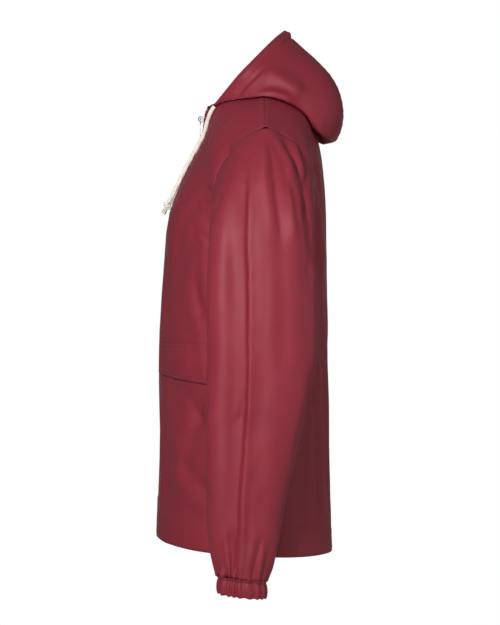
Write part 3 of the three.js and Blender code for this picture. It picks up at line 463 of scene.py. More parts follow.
# Folds, as seen from each side: from one place to another, how far the line bows, its width, its
# depth and how much steeper its far side is. Across is y in side views and x in front and back
# views; a minus depth is a trough, and deep folds are creased where shallow ones are round.
foldDirections = {
    "left": (1, 0, 0), "right": (-1, 0, 0), "front": (0, -1, 0), "back": (0, 1, 0),
}
folds = {
    "left": [
        # One long crease down the sleeve, with the soft rounds beside it
        ((-0.0190, -0.150), (-0.0190, -0.470), 0.000, 0.0125, 0.0062, 0),
        ((-0.0256, -0.110), (-0.0264, -0.490), 0.000, 0.0125, -0.0074, 0.62),
        ((-0.0200, -0.440), (-0.0340, -0.660), -0.001, 0.0115, 0.0046, 0),
        ((-0.0264, -0.450), (-0.0430, -0.710), -0.001, 0.0125, -0.0074, 0.62),
        ((-0.001, -0.130), (-0.004, -0.500), 0.000, 0.0150, -0.0034, 0),
        ((-0.012, -0.480), (-0.018, -0.640), 0.000, 0.0140, -0.0026, 0),
        ((-0.069, -0.160), (-0.072, -0.640), -0.001, 0.0140, 0.0046, 0),
        ((0.022, -0.200), (0.030, -0.430), 0.002, 0.0130, -0.0030, 0),
        ((0.044, -0.210), (0.046, -0.420), 0.002, 0.0120, 0.0016, 0),
        ((-0.008, -0.565), (-0.020, -0.690), 0.000, 0.0090, 0.0034, 0),
        # Fan of creases from the shoulder point
        ((0.005, -0.074), (0.026, -0.240), 0.004, 0.0065, -0.0048, 0),
        ((0.012, -0.079), (0.0345, -0.158), 0.002, 0.0045, -0.0022, 0),
        ((-0.010, -0.084), (-0.022, -0.170), 0.001, 0.0080, -0.0018, 0),
        ((-0.030, -0.082), (-0.046, -0.150), 0.001, 0.0080, 0.0020, 0),
        # Deep creases behind the armhole, with a ridge between them
        ((0.025, -0.067), (0.072, -0.205), 0.008, 0.0060, -0.0090, 0.2),
        ((0.045, -0.075), (0.062, -0.140), 0.002, 0.0040, 0.0034, 0),
        ((0.031, -0.110), (0.044, -0.235), 0.000, 0.0090, 0.0050, 0),
        ((0.054, -0.088), (0.066, -0.152), 0.003, 0.0042, -0.0078, 0),
        ((0.063, -0.150), (0.076, -0.270), 0.002, 0.0060, -0.0090, 0),
        # The cloth tucks in at the front of the armhole, with small wrinkles beside it
        ((-0.048, -0.082), (-0.069, -0.160), -0.004, 0.0048, -0.0062, 0),
        ((-0.090, -0.146), (-0.071, -0.159), 0.001, 0.0034, -0.0016, 0),
        ((-0.088, -0.170), (-0.071, -0.176), -0.001, 0.0036, -0.0018, 0),
        ((-0.086, -0.190), (-0.071, -0.205), 0.001, 0.0034, -0.0014, 0),
        ((-0.092, -0.212), (-0.074, -0.234), 0.001, 0.0045, -0.0016, 0),
        # Elbow
        ((-0.024, -0.452), (-0.034, -0.486), 0.001, 0.0060, -0.0016, 0),
        # Above the cuff
        ((-0.048, -0.640), (-0.050, -0.712), 0.002, 0.0045, -0.0034, 0),
        ((-0.036, -0.655), (-0.036, -0.712), -0.001, 0.0040, -0.0022, 0),
        ((-0.006, -0.650), (-0.018, -0.712), 0.001, 0.0042, -0.0036, 0.3),
        ((0.008, -0.660), (0.000, -0.708), 0.001, 0.0042, -0.0020, 0),
        # The front above and below the flap
        ((-0.108, -0.270), (-0.088, -0.345), 0.002, 0.0075, -0.0036, 0),
        ((-0.090, -0.190), (-0.082, -0.320), 0.001, 0.0090, 0.0030, 0),
        ((-0.100, -0.330), (-0.084, -0.440), 0.002, 0.0090, 0.0036, 0),
        ((-0.124, -0.425), (-0.086, -0.505), -0.004, 0.0120, -0.0055, 0),
        ((-0.128, -0.548), (-0.076, -0.596), -0.002, 0.0100, -0.0040, 0),
        ((-0.136, -0.568), (-0.074, -0.624), -0.002, 0.0120, 0.0030, 0),
        # The side of the back behind the sleeve
        ((0.083, -0.190), (0.081, -0.410), 0.002, 0.0055, -0.0044, 0),
        ((0.091, -0.210), (0.092, -0.385), 0.000, 0.0036, 0.0034, 0),
        ((0.086, -0.400), (0.068, -0.520), 0.002, 0.0050, 0.0034, 0),
        ((0.076, -0.400), (0.052, -0.540), 0.002, 0.0080, -0.0040, 0),
    ],
    "front": [
        ((0.170, -0.150), (0.120, -0.260), -0.010, 0.0110, -0.0016, 0),
        ((0.178, -0.200), (0.140, -0.300), -0.008, 0.0110, -0.0012, 0),
        ((0.120, -0.130), (0.070, -0.215), 0.008, 0.0110, -0.0022, 0),
        ((0.060, -0.240), (0.095, -0.350), 0.010, 0.0140, -0.0026, 0),
        ((0.045, -0.460), (0.110, -0.620), 0.012, 0.0130, -0.0034, 0.2),
        ((0.200, -0.440), (0.170, -0.600), -0.010, 0.0120, -0.0034, 0),
        ((-0.168, -0.155), (-0.126, -0.270), 0.010, 0.0090, -0.0034, 0),
        ((-0.180, -0.200), (-0.144, -0.290), 0.008, 0.0085, -0.0028, 0),
        ((-0.110, -0.140), (-0.060, -0.220), -0.008, 0.0110, -0.0022, 0),
        ((-0.056, -0.260), (-0.100, -0.360), -0.010, 0.0140, -0.0026, 0),
        ((-0.184, -0.290), (-0.156, -0.380), -0.008, 0.0100, -0.0030, 0),
        ((-0.050, -0.480), (-0.116, -0.640), -0.012, 0.0130, -0.0034, 0.2),
        ((-0.196, -0.430), (-0.160, -0.590), 0.010, 0.0120, -0.0034, 0),
        # Sleeves seen from the front
        ((0.262, -0.150), (0.268, -0.300), 0.006, 0.0080, -0.0030, 0),
        ((0.296, -0.420), (0.262, -0.466), 0.004, 0.0080, -0.0044, 0.2),
        ((0.302, -0.450), (0.270, -0.520), 0.004, 0.0080, -0.0036, 0),
        ((-0.262, -0.160), (-0.268, -0.310), -0.006, 0.0080, -0.0030, 0),
        ((-0.296, -0.430), (-0.262, -0.480), -0.004, 0.0080, -0.0044, 0.2),
        ((-0.302, -0.460), (-0.270, -0.530), -0.004, 0.0080, -0.0036, 0),
    ],
    "back": [
        ((0.175, -0.140), (0.110, -0.260), -0.010, 0.0100, -0.0040, 0.2),
        ((0.182, -0.180), (0.130, -0.330), -0.012, 0.0100, -0.0036, 0),
        ((0.165, -0.110), (0.080, -0.190), -0.008, 0.0110, -0.0028, 0),
        ((-0.172, -0.145), (-0.116, -0.270), 0.010, 0.0100, -0.0040, 0.2),
        ((-0.182, -0.190), (-0.134, -0.320), 0.012, 0.0100, -0.0036, 0),
        ((-0.160, -0.115), (-0.086, -0.200), 0.008, 0.0110, -0.0028, 0),
        ((0.100, -0.320), (0.090, -0.620), 0.010, 0.0160, -0.0044, 0.3),
        ((0.030, -0.360), (0.050, -0.690), -0.012, 0.0180, -0.0040, 0),
        ((-0.040, -0.340), (-0.030, -0.670), 0.012, 0.0170, -0.0042, -0.3),
        ((-0.110, -0.310), (-0.094, -0.640), -0.010, 0.0160, -0.0038, 0),
        ((0.150, -0.400), (0.150, -0.640), -0.010, 0.0130, -0.0038, 0),
        ((-0.154, -0.420), (-0.150, -0.650), 0.010, 0.0130, -0.0038, 0),
        ((0.294, -0.430), (0.262, -0.494), 0.005, 0.0090, -0.0040, 0.2),
        ((-0.294, -0.440), (-0.262, -0.506), -0.005, 0.0090, -0.0040, 0.2),
        ((0.276, -0.130), (0.300, -0.300), 0.008, 0.0090, -0.0036, 0),
        ((-0.276, -0.140), (-0.300, -0.300), -0.008, 0.0090, -0.0036, 0),
    ],
}


def varied(table, seed):
    # The same kind of folds for the hidden side, none quite alike
    dice = random.Random(seed)
    rows = []
    for (a0, z0), (a1, z1), bow, width, depth, lean in table:
        da, dz = dice.uniform(-0.006, 0.006), dice.uniform(-0.014, 0.010)
        rows.append(((a0 + da, z0 + dz), (a1 + dice.uniform(-0.005, 0.005), z1 + dz),
                     bow * dice.uniform(0.4, 1.6), width * dice.uniform(0.85, 1.25),
                     depth * dice.uniform(0.65, 1.05), lean * dice.uniform(0.3, 1)))
    return rows


folds["right"] = varied(folds["left"], 17)


creased = {"from": 0.0034, "power": 1.35}


def foldShift(points, normals, foldTable):
    # How far the folds move each point along its normal
    shift = np.zeros(len(points))
    waver = softNoise(points, 0.085, 5) * 0.0013 + softNoise(points, 0.04, 6) * 0.0004
    uneven = 1 + 0.18 * softNoise(points, 0.11, 8)
    for direction, rows in foldTable.items():
        facing = np.clip(normals @ np.array(foldDirections[direction]), 0, 1) ** 0.6
        across = points[:, 1] if direction in ("left", "right") else points[:, 0]
        for (a0, z0), (a1, z1), bow, width, depth, lean in rows:
            run = np.array((a1 - a0, z1 - z0))
            length = math.hypot(*run)
            unit = run / length
            da = across - a0
            dz = points[:, 2] - z0
            t = np.clip((da * unit[0] + dz * unit[1]) / length, -0.15, 1.15)
            offset = da * -unit[1] + dz * unit[0]
            offset = offset - bow * np.sin(np.pi * np.clip(t, 0, 1)) + waver
            beyond = np.maximum(np.maximum(-t, t - 1), 0) * length
            taper = np.exp(-((np.maximum(np.abs(t - 0.5) - 0.3, 0) / 0.16) ** 2))
            u = offset / (width * np.where(offset > 0, 1 - lean, 1 + lean))
            power = creased["power"] if abs(depth) > creased["from"] else 2
            shape = np.exp(-np.abs(u) ** power) - 0.22 * np.exp(-((np.abs(u) - 1.9) / 0.9) ** 2)
            shape *= np.exp(-(beyond / width) ** 2)
            shift += depth * taper * shape * facing * uneven
    return shift


# What the folds keep clear of, the zip's straight edges and the underarms, and how uneven the rest is
calm = {
    "zipFrom": 0.008, "zipTo": 0.035,
    "underarm": (0.211, -0.006, -0.24), "underarmFrom": 0.02, "underarmTo": 0.07,
    "broadNoise": 0.0006, "fineNoise": 0.0001,
}


def settle(name, normals):
    points = places(sheets[name].data)
    shift = foldShift(points, normals, folds)
    shift += calm["broadNoise"] * softNoise(points, 0.09, 12)
    shift += calm["fineNoise"] * softNoise(points, 0.03, 13, 9)
    if name.startswith("front"):
        shift *= easeBetween(np.abs(points[:, 0]), calm["zipFrom"], calm["zipTo"])
    underarm = np.array(calm["underarm"])
    near = np.minimum(np.linalg.norm(points - underarm, axis=1),
                      np.linalg.norm(points - underarm * (-1, 1, 1), axis=1))
    shift *= easeBetween(near, calm["underarmFrom"], calm["underarmTo"])
    setPlaces(sheets[name].data, points + normals * shift[:, None])


torsoNames = list(sheets)
normalsBefore = weldedNormals(torsoNames)
for name in torsoNames:
    settle(name, normalsBefore[name])
print("folds laid in")


def seamDistances(piece, runs):
    # Distance of every point of a sheet to the given edge runs, and how far along them it lies
    points = places(piece.data)
    line = []
    for run in runs:
        passed = 0.0
        for k, index in enumerate(run):
            if k:
                passed += float(np.linalg.norm(points[index] - points[run[k - 1]]))
            line.append((points[index], passed))
    tree = KDTree(len(line))
    for k, (point, _) in enumerate(line):
        tree.insert(point, k)
    tree.balance()
    distance = np.full(len(points), 9.0)
    along = np.zeros(len(points))
    for k, point in enumerate(points):
        _, nearest, gap = tree.find(point)
        distance[k] = gap
        along[k] = line[nearest][1]
    return distance, along


# Seams as they are sewn: the allowance lies under one piece, and the cloth puckers beside it
sewing = {
    "allowance": 0.009,
    "allowanceLift": 0.0004,
    "dip": 0.0003,
    "dipWidth": 0.0026,
    "puckerReach": 0.016,
    "puckerHeight": 0.00022,
    "puckerLong": 0.0135,
    "puckerShort": 0.0075,
}
toppedEdges = {"front_left": ["side", "shoulder"], "front_right": ["side", "shoulder"]}
plainEdges = {"back_panel": ["armhole", "side", "shoulder"]}      # the others have a plain armhole


def addAttribute(mesh, name, values):
    layer = mesh.attributes.get(name) or mesh.attributes.new(name, "FLOAT", "POINT")
    layer.data.foreach_set("value", np.asarray(values, dtype=np.float32))


def sewEdges(name, topped, plain, seed):
    piece = sheets[name]
    mesh = piece.data
    points = places(mesh)
    normals = vertexNormals(mesh)
    shift = np.zeros(len(points))
    nearest = np.full(len(points), 9.0)
    for kind in topped + plain:
        distance, along = seamDistances(piece, seams[name][kind])
        nearest = np.minimum(nearest, distance)
        turn = along * 2 * math.pi
        pucker = 0.6 * np.sin(turn / sewing["puckerLong"] + 3 * softNoise(points, 0.05, seed))
        pucker += 0.4 * np.sin(turn / sewing["puckerShort"] + 2 * softNoise(points, 0.03, seed + 1))
        fade = np.exp(-(distance / sewing["puckerReach"] * 1.6) ** 2) * easeBetween(distance, 0, 0.002)
        strength = 0.6 + 0.4 * softNoise(points, 0.06, seed + 2)
        shift += sewing["puckerHeight"] * pucker * fade * strength
        shift -= sewing["dip"] * np.exp(-(distance / sewing["dipWidth"]) ** 2)
        if kind in topped:
            band = easeBetween(distance, 0.0005, 0.0025) * (
                1 - easeBetween(distance, sewing["allowance"], sewing["allowance"] + 0.002))
            shift += sewing["allowanceLift"] * band
    setPlaces(mesh, points + normals * shift[:, None])
    addAttribute(mesh, "seamDistance", nearest)


for k, name in enumerate(torsoNames):
    sewEdges(name, toppedEdges.get(name, []), plainEdges.get(name, ["armhole"]), 40 + 5 * k)
print("seams sewn")


# Turned hem: a double layer up to its stitching, with a soft step
hemDetail = {
    "turn": 0.040,
    "lift": 0.0009,
    "stitch": 0.036,
    "secondStitch": 0.0415,
    "stitchDip": 0.0007,
    "twistLength": 0.018,
    "twistReach": 0.012,
    "twistHeight": 0.0004,
}


def turnHem(name):
    piece = sheets[name]
    mesh = piece.data
    distance, along = seamDistances(piece, seams[name]["hem"])
    points = places(mesh)
    normals = vertexNormals(mesh)
    band = 1 - easeBetween(distance, hemDetail["turn"] - 0.001, hemDetail["turn"] + 0.0015)
    shift = hemDetail["lift"] * band
    shift -= hemDetail["stitchDip"] * np.exp(-((distance - hemDetail["stitch"]) / 0.0012) ** 2)
    turn = along * 2 * math.pi / hemDetail["twistLength"]
    twist = np.sin(turn + 2.5 * softNoise(points, 0.05, 71)) * hemDetail["twistHeight"]
    near = np.exp(-((distance - hemDetail["turn"]) / hemDetail["twistReach"]) ** 2)
    shift += twist * near * (0.6 + 0.4 * softNoise(points, 0.09, 72))
    setPlaces(mesh, points + normals * shift[:, None])


for name in ("front_left", "front_right", "back_panel"):
    turnHem(name)


# Hood: sections from the face edge to the nape, each from the centre seam to the neckline
hoodDetail = {
    "rows": 84,
    "columns": 60,
    "neckLift": 0.0012,
    "clear": 0.0026,
    "casing": 0.016,
    "casingLift": 0.0022,
    "grooveDepth": 0.0014,
    "tuckDepth": 0.0030,       # how far the front of the neck edge turns under
    "puckerHeight": 0.0002,
    "seamDip": 0.0007,
    "seamEnd": 0.0024,         # lump where the centre seam ends in the casing
    "allowance": 0.007,
}
hoodSections = [
    # seam y, z; crown x, y, z; side x, y, z; rim x, y, z; place along the half neckline
    (0.035, 0.106, 0.050, 0.012, 0.081, 0.080, -0.028, 0.037, 0.052, -0.070, -0.009, 0.05),
    (0.058, 0.084, 0.056, 0.038, 0.068, 0.096, -0.008, 0.031, 0.084, -0.038, -0.009, 0.24),
    (0.084, 0.061, 0.060, 0.066, 0.050, 0.105, 0.016, 0.024, 0.104, 0.001, -0.0075, 0.42),
    (0.107, 0.034, 0.059, 0.092, 0.028, 0.105, 0.046, 0.012, 0.104, 0.032, -0.014, 0.57),
    (0.122, 0.005, 0.056, 0.111, 0.000, 0.097, 0.074, -0.008, 0.095, 0.058, -0.030, 0.70),
    (0.127, -0.027, 0.050, 0.119, -0.028, 0.084, 0.095, -0.036, 0.080, 0.083, -0.058, 0.82),
    (0.121, -0.056, 0.038, 0.114, -0.057, 0.060, 0.102, -0.064, 0.054, 0.093, -0.064, 0.90),
    (0.108, -0.066, 0.022, 0.104, -0.066, 0.034, 0.098, -0.062, 0.034, 0.090, -0.052, 0.945),
    (0.080, -0.030, 0.004, 0.080, -0.030, 0.008, 0.079, -0.0285, 0.011, 0.078, -0.027, 0.975),
]


def tableAt(table, at):
    # Row of a table at a fractional place, on smooth curves through its columns
    last = len(table) - 1
    i = min(int(at), last - 1)
    t = at - i
    a, b, c, d = [np.array(table[min(max(k, 0), last)]) for k in (i - 1, i, i + 1, i + 2)]
    return (b * (2 * t ** 3 - 3 * t * t + 1) + (c - a) / 2 * (t ** 3 - 2 * t * t + t)
            + c * (3 * t * t - 2 * t ** 3) + (d - b) / 2 * (t ** 3 - t * t))


def halfNeckline(side):
    # Neck edges of one half of the coat: from the zip to the shoulder, and from there to the nape
    front = f"front_{'left' if side > 0 else 'right'}"
    frontPoints = places(sheets[front].data)
    backPoints = places(sheets["back_panel"].data)
    fromZip = [Vector(frontPoints[index]) for index in max(seams[front]["neck"], key=len)]
    fromZip.sort(key=lambda point: side * point.x)
    toNape = []
    for run in seams["back_panel"]["neck"]:
        toNape += [Vector(backPoints[index]) for index in run if side * backPoints[index][0] > -0.0001]
    toNape.sort(key=lambda point: -side * point.x)
    return fromZip, toNape


def neckPlace(neckline, share):
    fromZip, toNape = neckline
    return alongLine(fromZip, 2 * share) if share < 0.5 else alongLine(toNape, 2 * share - 1)


def alongLine(points, share):
    lengths = [0.0]
    for i in range(len(points) - 1):
        lengths.append(lengths[-1] + (points[i + 1] - points[i]).length)
    wanted = share * lengths[-1]
    for i in range(len(points) - 1):
        if lengths[i + 1] >= wanted:
            span = lengths[i + 1] - lengths[i] or 1
            return points[i].lerp(points[i + 1], (wanted - lengths[i]) / span)
    return points[-1].copy()


def surfaceTree(names):
    bm = bmesh.new()
    for name in names:
        bm.from_mesh(sheets[name].data)
    tree = BVHTree.FromBMesh(bm)
    bm.free()
    return tree


def pushOff(point, tree, gap):
    # Moves a point out until it stands clear of a surface
    nearest, normal, _, distance = tree.find_nearest(point)
    if nearest is None or distance > 0.03:
        return point
    height = (point - nearest).dot(normal)
    return point + normal * (gap - height) if height < gap else point


hoodFolds = {
    "left": [
        # Lit triangle where the hood's front folds down on the shoulder
        ((0.002, 0.036), (-0.042, -0.006), -0.003, 0.0055, -0.0064, 0.2),
        ((0.004, 0.034), (0.056, -0.010), 0.003, 0.0130, 0.0066, 0),
        ((-0.010, -0.004), (0.044, -0.012), 0.007, 0.0050, -0.0030, 0),
        ((-0.034, 0.020), (-0.052, -0.002), -0.002, 0.0040, -0.0024, 0),
        ((0.056, 0.022), (0.096, -0.044), 0.008, 0.0140, -0.0016, 0),
    ],
    "back": [
        ((0.014, 0.060), (0.034, -0.040), 0.006, 0.0100, -0.0018, 0),
        ((-0.016, 0.070), (-0.036, -0.030), 0.006, 0.0100, -0.0018, 0),
    ],
}
hoodFolds["right"] = varied(hoodFolds["left"], 29)


def makeHood(side, name, torsoTree):
    bm = bmesh.new()
    rows = hoodDetail["rows"]
    columns = hoodDetail["columns"]
    bmesh.ops.create_grid(bm, x_segments=columns, y_segments=rows, size=0.5)
    neckline = halfNeckline(side)
    curves = []
    for row in range(rows + 1):
        section = tableAt(hoodSections, (len(hoodSections) - 1) * row / rows)
        neck = neckPlace(neckline, section[11])
        controls = [
            Vector((0, section[0], section[1])),
            Vector((side * section[2], section[3], section[4])),
            Vector((side * section[5], section[6], section[7])),
            Vector((side * section[8], section[9], section[10])),
            neck + Vector((0, 0, hoodDetail["neckLift"])),
        ]
        spaced, _ = throughPoints(controls, 0.004)
        curves.append(spaced)
    edges = {"face": [[0] * (columns + 1)], "crown": [[0] * (rows + 1)], "neck": [[0] * (rows + 1)]}
    for vert in bm.verts:
        row = round((vert.co.y + 0.5) * rows)
        column = round((vert.co.x + 0.5) * columns)
        if row == 0:
            edges["face"][0][column] = vert.index
        if column == 0:
            edges["crown"][0][row] = vert.index
        if column == columns:
            edges["neck"][0][row] = vert.index
        point = alongLine(curves[row], column / columns)
        if column < columns:
            point = pushOff(point, torsoTree, hoodDetail["clear"])
        if column == 0:
            point.x = 0
        vert.co = point
    bmesh.ops.recalc_face_normals(bm, faces=bm.faces)
    bm.faces.ensure_lookup_table()
    if bm.faces[len(bm.faces) // 2].normal.x * side < 0:
        bmesh.ops.reverse_faces(bm, faces=bm.faces)
    return meshObject(name, bm), edges


torsoTree = surfaceTree(["front_left", "front_right", "back_panel", "sleeve_left", "sleeve_right"])
for sideName, side in sides.items():
    name = f"hood_{sideName}"
    sheets[name], seams[name] = makeHood(side, f"{name}_cloth", torsoTree)
print("hood raised")


def sewHood(sideName):
    # Folds, the turned casing along the face edge, and the seams of one hood side
    name = f"hood_{sideName}"
    piece = sheets[name]
    mesh = piece.data
    points = places(mesh)
    normals = vertexNormals(mesh)
    atCrown = np.abs(points[:, 0]) < 0.0003
    normals[atCrown, 0] = 0
    normals /= np.linalg.norm(normals, axis=1)[:, None]
    rules = {sideName: hoodFolds[sideName], "back": hoodFolds["back"]}
    neckGap, _ = seamDistances(piece, seams[name]["neck"])
    shift = foldShift(points, normals, rules) + 0.0004 * softNoise(points, 0.07, 21)
    shift *= easeBetween(neckGap, 0.001, 0.02)
    points = points + normals * shift[:, None]
    setPlaces(mesh, points)
    faceGap, along = seamDistances(piece, seams[name]["face"])
    crownGap, crownAlong = seamDistances(piece, seams[name]["crown"])
    normals = vertexNormals(mesh)
    normals[atCrown, 0] = 0
    casing = hoodDetail["casing"]
    inCasing = np.clip(faceGap / casing, 0, 1)
    puff = hoodDetail["casingLift"] * np.sqrt(np.clip(np.sin(np.pi * inCasing), 0, 1))
    puff *= 1 + 0.15 * softNoise(points, 0.05, 22)
    groove = hoodDetail["grooveDepth"] * np.exp(-((faceGap - casing) / 0.0016) ** 2)
    underEdge = hoodDetail["tuckDepth"] * np.exp(-(neckGap / 0.005) ** 2)
    underEdge *= easeBetween(-points[:, 1], -0.01, 0.03)
    seamEnd = np.exp(-((faceGap - 0.009) / 0.003) ** 2) * np.exp(-(crownGap / 0.004) ** 2)
    pucker = np.sin(along * 2 * math.pi / 0.011 + 2.5 * softNoise(points, 0.04, 23))
    pucker *= hoodDetail["puckerHeight"] * np.exp(-((faceGap - casing) / 0.008) ** 2)
    seamDip = hoodDetail["seamDip"] * np.exp(-(crownGap / 0.0024) ** 2)
    crownPucker = np.sin(crownAlong * 2 * math.pi / 0.012) * np.exp(-(crownGap / 0.012) ** 2)
    crownPucker *= hoodDetail["puckerHeight"] * easeBetween(crownGap, 0, 0.002)
    shift = puff - groove + pucker - seamDip + crownPucker + hoodDetail["seamEnd"] * seamEnd
    shift = shift * easeBetween(neckGap, 0, 0.004) - underEdge
    points = points + normals * shift[:, None]
    points[atCrown, 0] = 0
    setPlaces(mesh, points)
    for vert in mesh.vertices:
        if neckGap[vert.index] > 0.006:
            vert.co = pushOff(vert.co, torsoTree, hoodDetail["clear"])
    mesh.update()
    seamGap = np.minimum(np.minimum(neckGap, crownGap), np.abs(faceGap - casing))
    addAttribute(mesh, "seamDistance", seamGap)


def tuckNeckEdge(sideName):
    # Seam allowance of the hood, turned down inside the neck
    name = f"hood_{sideName}"
    mesh = sheets[name].data
    bm = bmesh.new()
    bm.from_mesh(mesh)
    bm.verts.ensure_lookup_table()
    onNeck = {bm.verts[index] for index in seams[name]["neck"][0]}
    edges = [edge for edge in bm.edges if edge.is_boundary and set(edge.verts) <= onNeck]
    grown = bmesh.ops.extrude_edge_only(bm, edges=edges)["geom"]
    for vert in grown:
        if isinstance(vert, bmesh.types.BMVert):
            inward = Vector((-vert.co.x, -vert.co.y, 0)).normalized()
            vert.co += inward * 0.002 - Vector((0, 0, hoodDetail["allowance"]))
    bm.to_mesh(mesh)
    bm.free()


for sideName in sides:
    sewHood(sideName)
    tuckNeckEdge(sideName)
print("hood sewn")


# Gathers: the sleeve is drawn in to its elastic cuff
gathers = {
    "count": 18,
    "cuffDepth": 0.0017,
    "sleeveDepth": 0.0021,
    "fromZ": -0.56,
    "around": 264,
    "rows": 22,
}
sleeveEnd = {"x": 0.287, "y": -0.030, "z": -0.709, "halfX": 0.033, "halfY": 0.0365}
cuffSize = {
    "height": 0.025, "halfX": 0.030, "halfY": 0.034, "gap": 0.0003, "tilt": 0.1,
    "bulge": 0.0021, "inset": 0.0006, "stitchAt": 0.13,
}


def gatherPhase(angle):
    return gathers["count"] * angle + 1.5 * np.sin(3 * angle + 0.7) + 1.1 * np.sin(5 * angle + 2.1)


def gatherSleeve(name, side):
    mesh = sheets[name].data
    points = places(mesh)
    normals = vertexNormals(mesh)
    angle = np.arctan2((points[:, 1] - sleeveEnd["y"]) / sleeveEnd["halfY"],
                       (side * points[:, 0] - sleeveEnd["x"]) / sleeveEnd["halfX"])
    tilted = points[:, 2] + cuffSize["tilt"] * (points[:, 1] - sleeveEnd["y"])
    above = np.maximum(tilted - sleeveEnd["z"], 0)
    phase = gatherPhase(angle)
    uneven = 1 + 0.35 * softNoise(points, 0.05, 61)
    shift = np.cos(phase) * np.exp(-(above / 0.016) ** 1.3)
    shift += 0.95 * np.cos(phase / 2 + 0.4) * np.exp(-(above / 0.042) ** 1.5) * easeBetween(above, 0, 0.02)
    shift += 0.9 * np.cos(phase / 4 + 1.3) * np.exp(-(above / 0.085) ** 2) * easeBetween(above, 0, 0.05)
    shift *= gathers["sleeveDepth"] * uneven * (points[:, 2] < gathers["fromZ"])
    setPlaces(mesh, points + normals * shift[:, None])


def makeCuff(side, name):
    # Tube of cloth over elastic: ridges and grooves all round, drawn in at both stitched edges
    bm = bmesh.new()
    around = gathers["around"]
    rows = gathers["rows"]
    ring = bmesh.ops.create_circle(bm, segments=around, radius=1)["verts"]
    rings = [ring]
    edges = list(bm.edges)
    for row in range(rows):
        ring, edges = growRing(bm, ring, edges)
        rings.append(ring)
    for row, ringVerts in enumerate(rings):
        t = row / rows
        drawnIn = 1 - 0.55 * math.exp(-((t - cuffSize["stitchAt"]) / 0.06) ** 2)
        drawnIn -= 0.35 * math.exp(-((t - 1) / 0.1) ** 2)
        bulge = cuffSize["bulge"] * math.sin(math.pi * min(max((t - 0.1) / 0.9, 0), 1)) ** 0.8
        for k, vert in enumerate(ringVerts):
            angle = 2 * math.pi * k / around
            phase = float(gatherPhase(np.array(angle if angle <= math.pi else angle - 2 * math.pi)))
            depth = gathers["cuffDepth"] * drawnIn * (0.8 + 0.2 * math.sin(2 * angle + 1 + 3 * t))
            wave = math.cos(phase + 0.5 * math.sin(4 * t + 3 * angle))
            ridge = math.copysign(abs(wave) ** 0.8, wave)
            sleeveShare = max(0, 1 - t / 0.12)
            halfX = cuffSize["halfX"] + (sleeveEnd["halfX"] - cuffSize["halfX"]) * sleeveShare
            halfY = cuffSize["halfY"] + (sleeveEnd["halfY"] - cuffSize["halfY"]) * sleeveShare
            out = depth * ridge + bulge - cuffSize["inset"]
            z = sleeveEnd["z"] - cuffSize["gap"] - t * cuffSize["height"]
            z -= cuffSize["tilt"] * sleeveEnd["halfY"] * math.sin(angle)
            z -= cuffSize["inset"] * ridge * t
            vert.co = (side * (sleeveEnd["x"] + (halfX + out) * math.cos(angle)),
                       sleeveEnd["y"] + (halfY + out) * math.sin(angle), z)
    bmesh.ops.recalc_face_normals(bm, faces=bm.faces)
    piece = meshObject(name, bm)
    points = places(piece.data)
    normals = vertexNormals(piece.data)
    outward = (points - np.array((side * sleeveEnd["x"], sleeveEnd["y"], 0))) * (1, 1, 0)
    if float((outward * normals).sum()) < 0:
        piece.data.flip_normals()
    height = np.repeat(np.arange(rows + 1) / rows, around)
    addAttribute(piece.data, "seamDistance", np.abs(height - cuffSize["stitchAt"]) * cuffSize["height"])
    return piece


for sideName, side in sides.items():
    gatherSleeve(f"sleeve_{sideName}", side)
    sheets[f"cuff_{sideName}"] = makeCuff(side, f"cuff_{sideName}_cloth")
print("cuffs gathered")


# Pocket flaps, laid on the fronts and stitched along the top
flapDetail = {
    "gap": 0.0011,
    "stand": 0.35,             # share kept of the solid flap's height over the front
    "fineness": 4,
    "hang": 0.0008,
    "seam": 0.006,
    "seamDip": 0.0004,
    "edgeDip": 0.0006,
}


def layFlap(name, under):
    piece = smoothSheet(name, f"{name}_cloth", flapDetail["fineness"])
    mesh = piece.data
    points = places(mesh)
    tree = surfaceTree([under])
    normals = np.array([tuple(tree.find_nearest(Vector(point))[1]) for point in points])
    low = points[:, 2].min()
    high = points[:, 2].max()
    t = (points[:, 2] - low) / (high - low)
    hang = flapDetail["hang"] * np.exp(-(t / 0.35) ** 2)
    shift = foldShift(points, normals, folds) + hang * (1 + 0.5 * softNoise(points, 0.06, 81))
    setPlaces(mesh, points + normals * shift[:, None])
    for vert in mesh.vertices:
        nearest, normal, _, _ = tree.find_nearest(vert.co)
        height = max((vert.co - nearest).dot(normal), 0)
        vert.co = nearest + normal * (flapDetail["gap"] + flapDetail["stand"] * height)
    mesh.update()
    edges = {"all": edgeRuns(piece)}
    distance, _ = seamDistances(piece, edges["all"])
    points = places(mesh)
    normals = vertexNormals(mesh)
    seamGap = np.abs(distance - flapDetail["seam"])
    shift = -flapDetail["seamDip"] * np.exp(-(seamGap / 0.0012) ** 2)
    shift -= flapDetail["edgeDip"] * np.exp(-(distance / 0.0014) ** 2)
    setPlaces(mesh, points + normals * shift[:, None])
    addAttribute(mesh, "seamDistance", seamGap)
    sheets[name] = piece
    seams[name] = edges


for sideName in sides:
    layFlap(f"flap_{sideName}", f"front_{sideName}")
print("pocket flaps laid on")


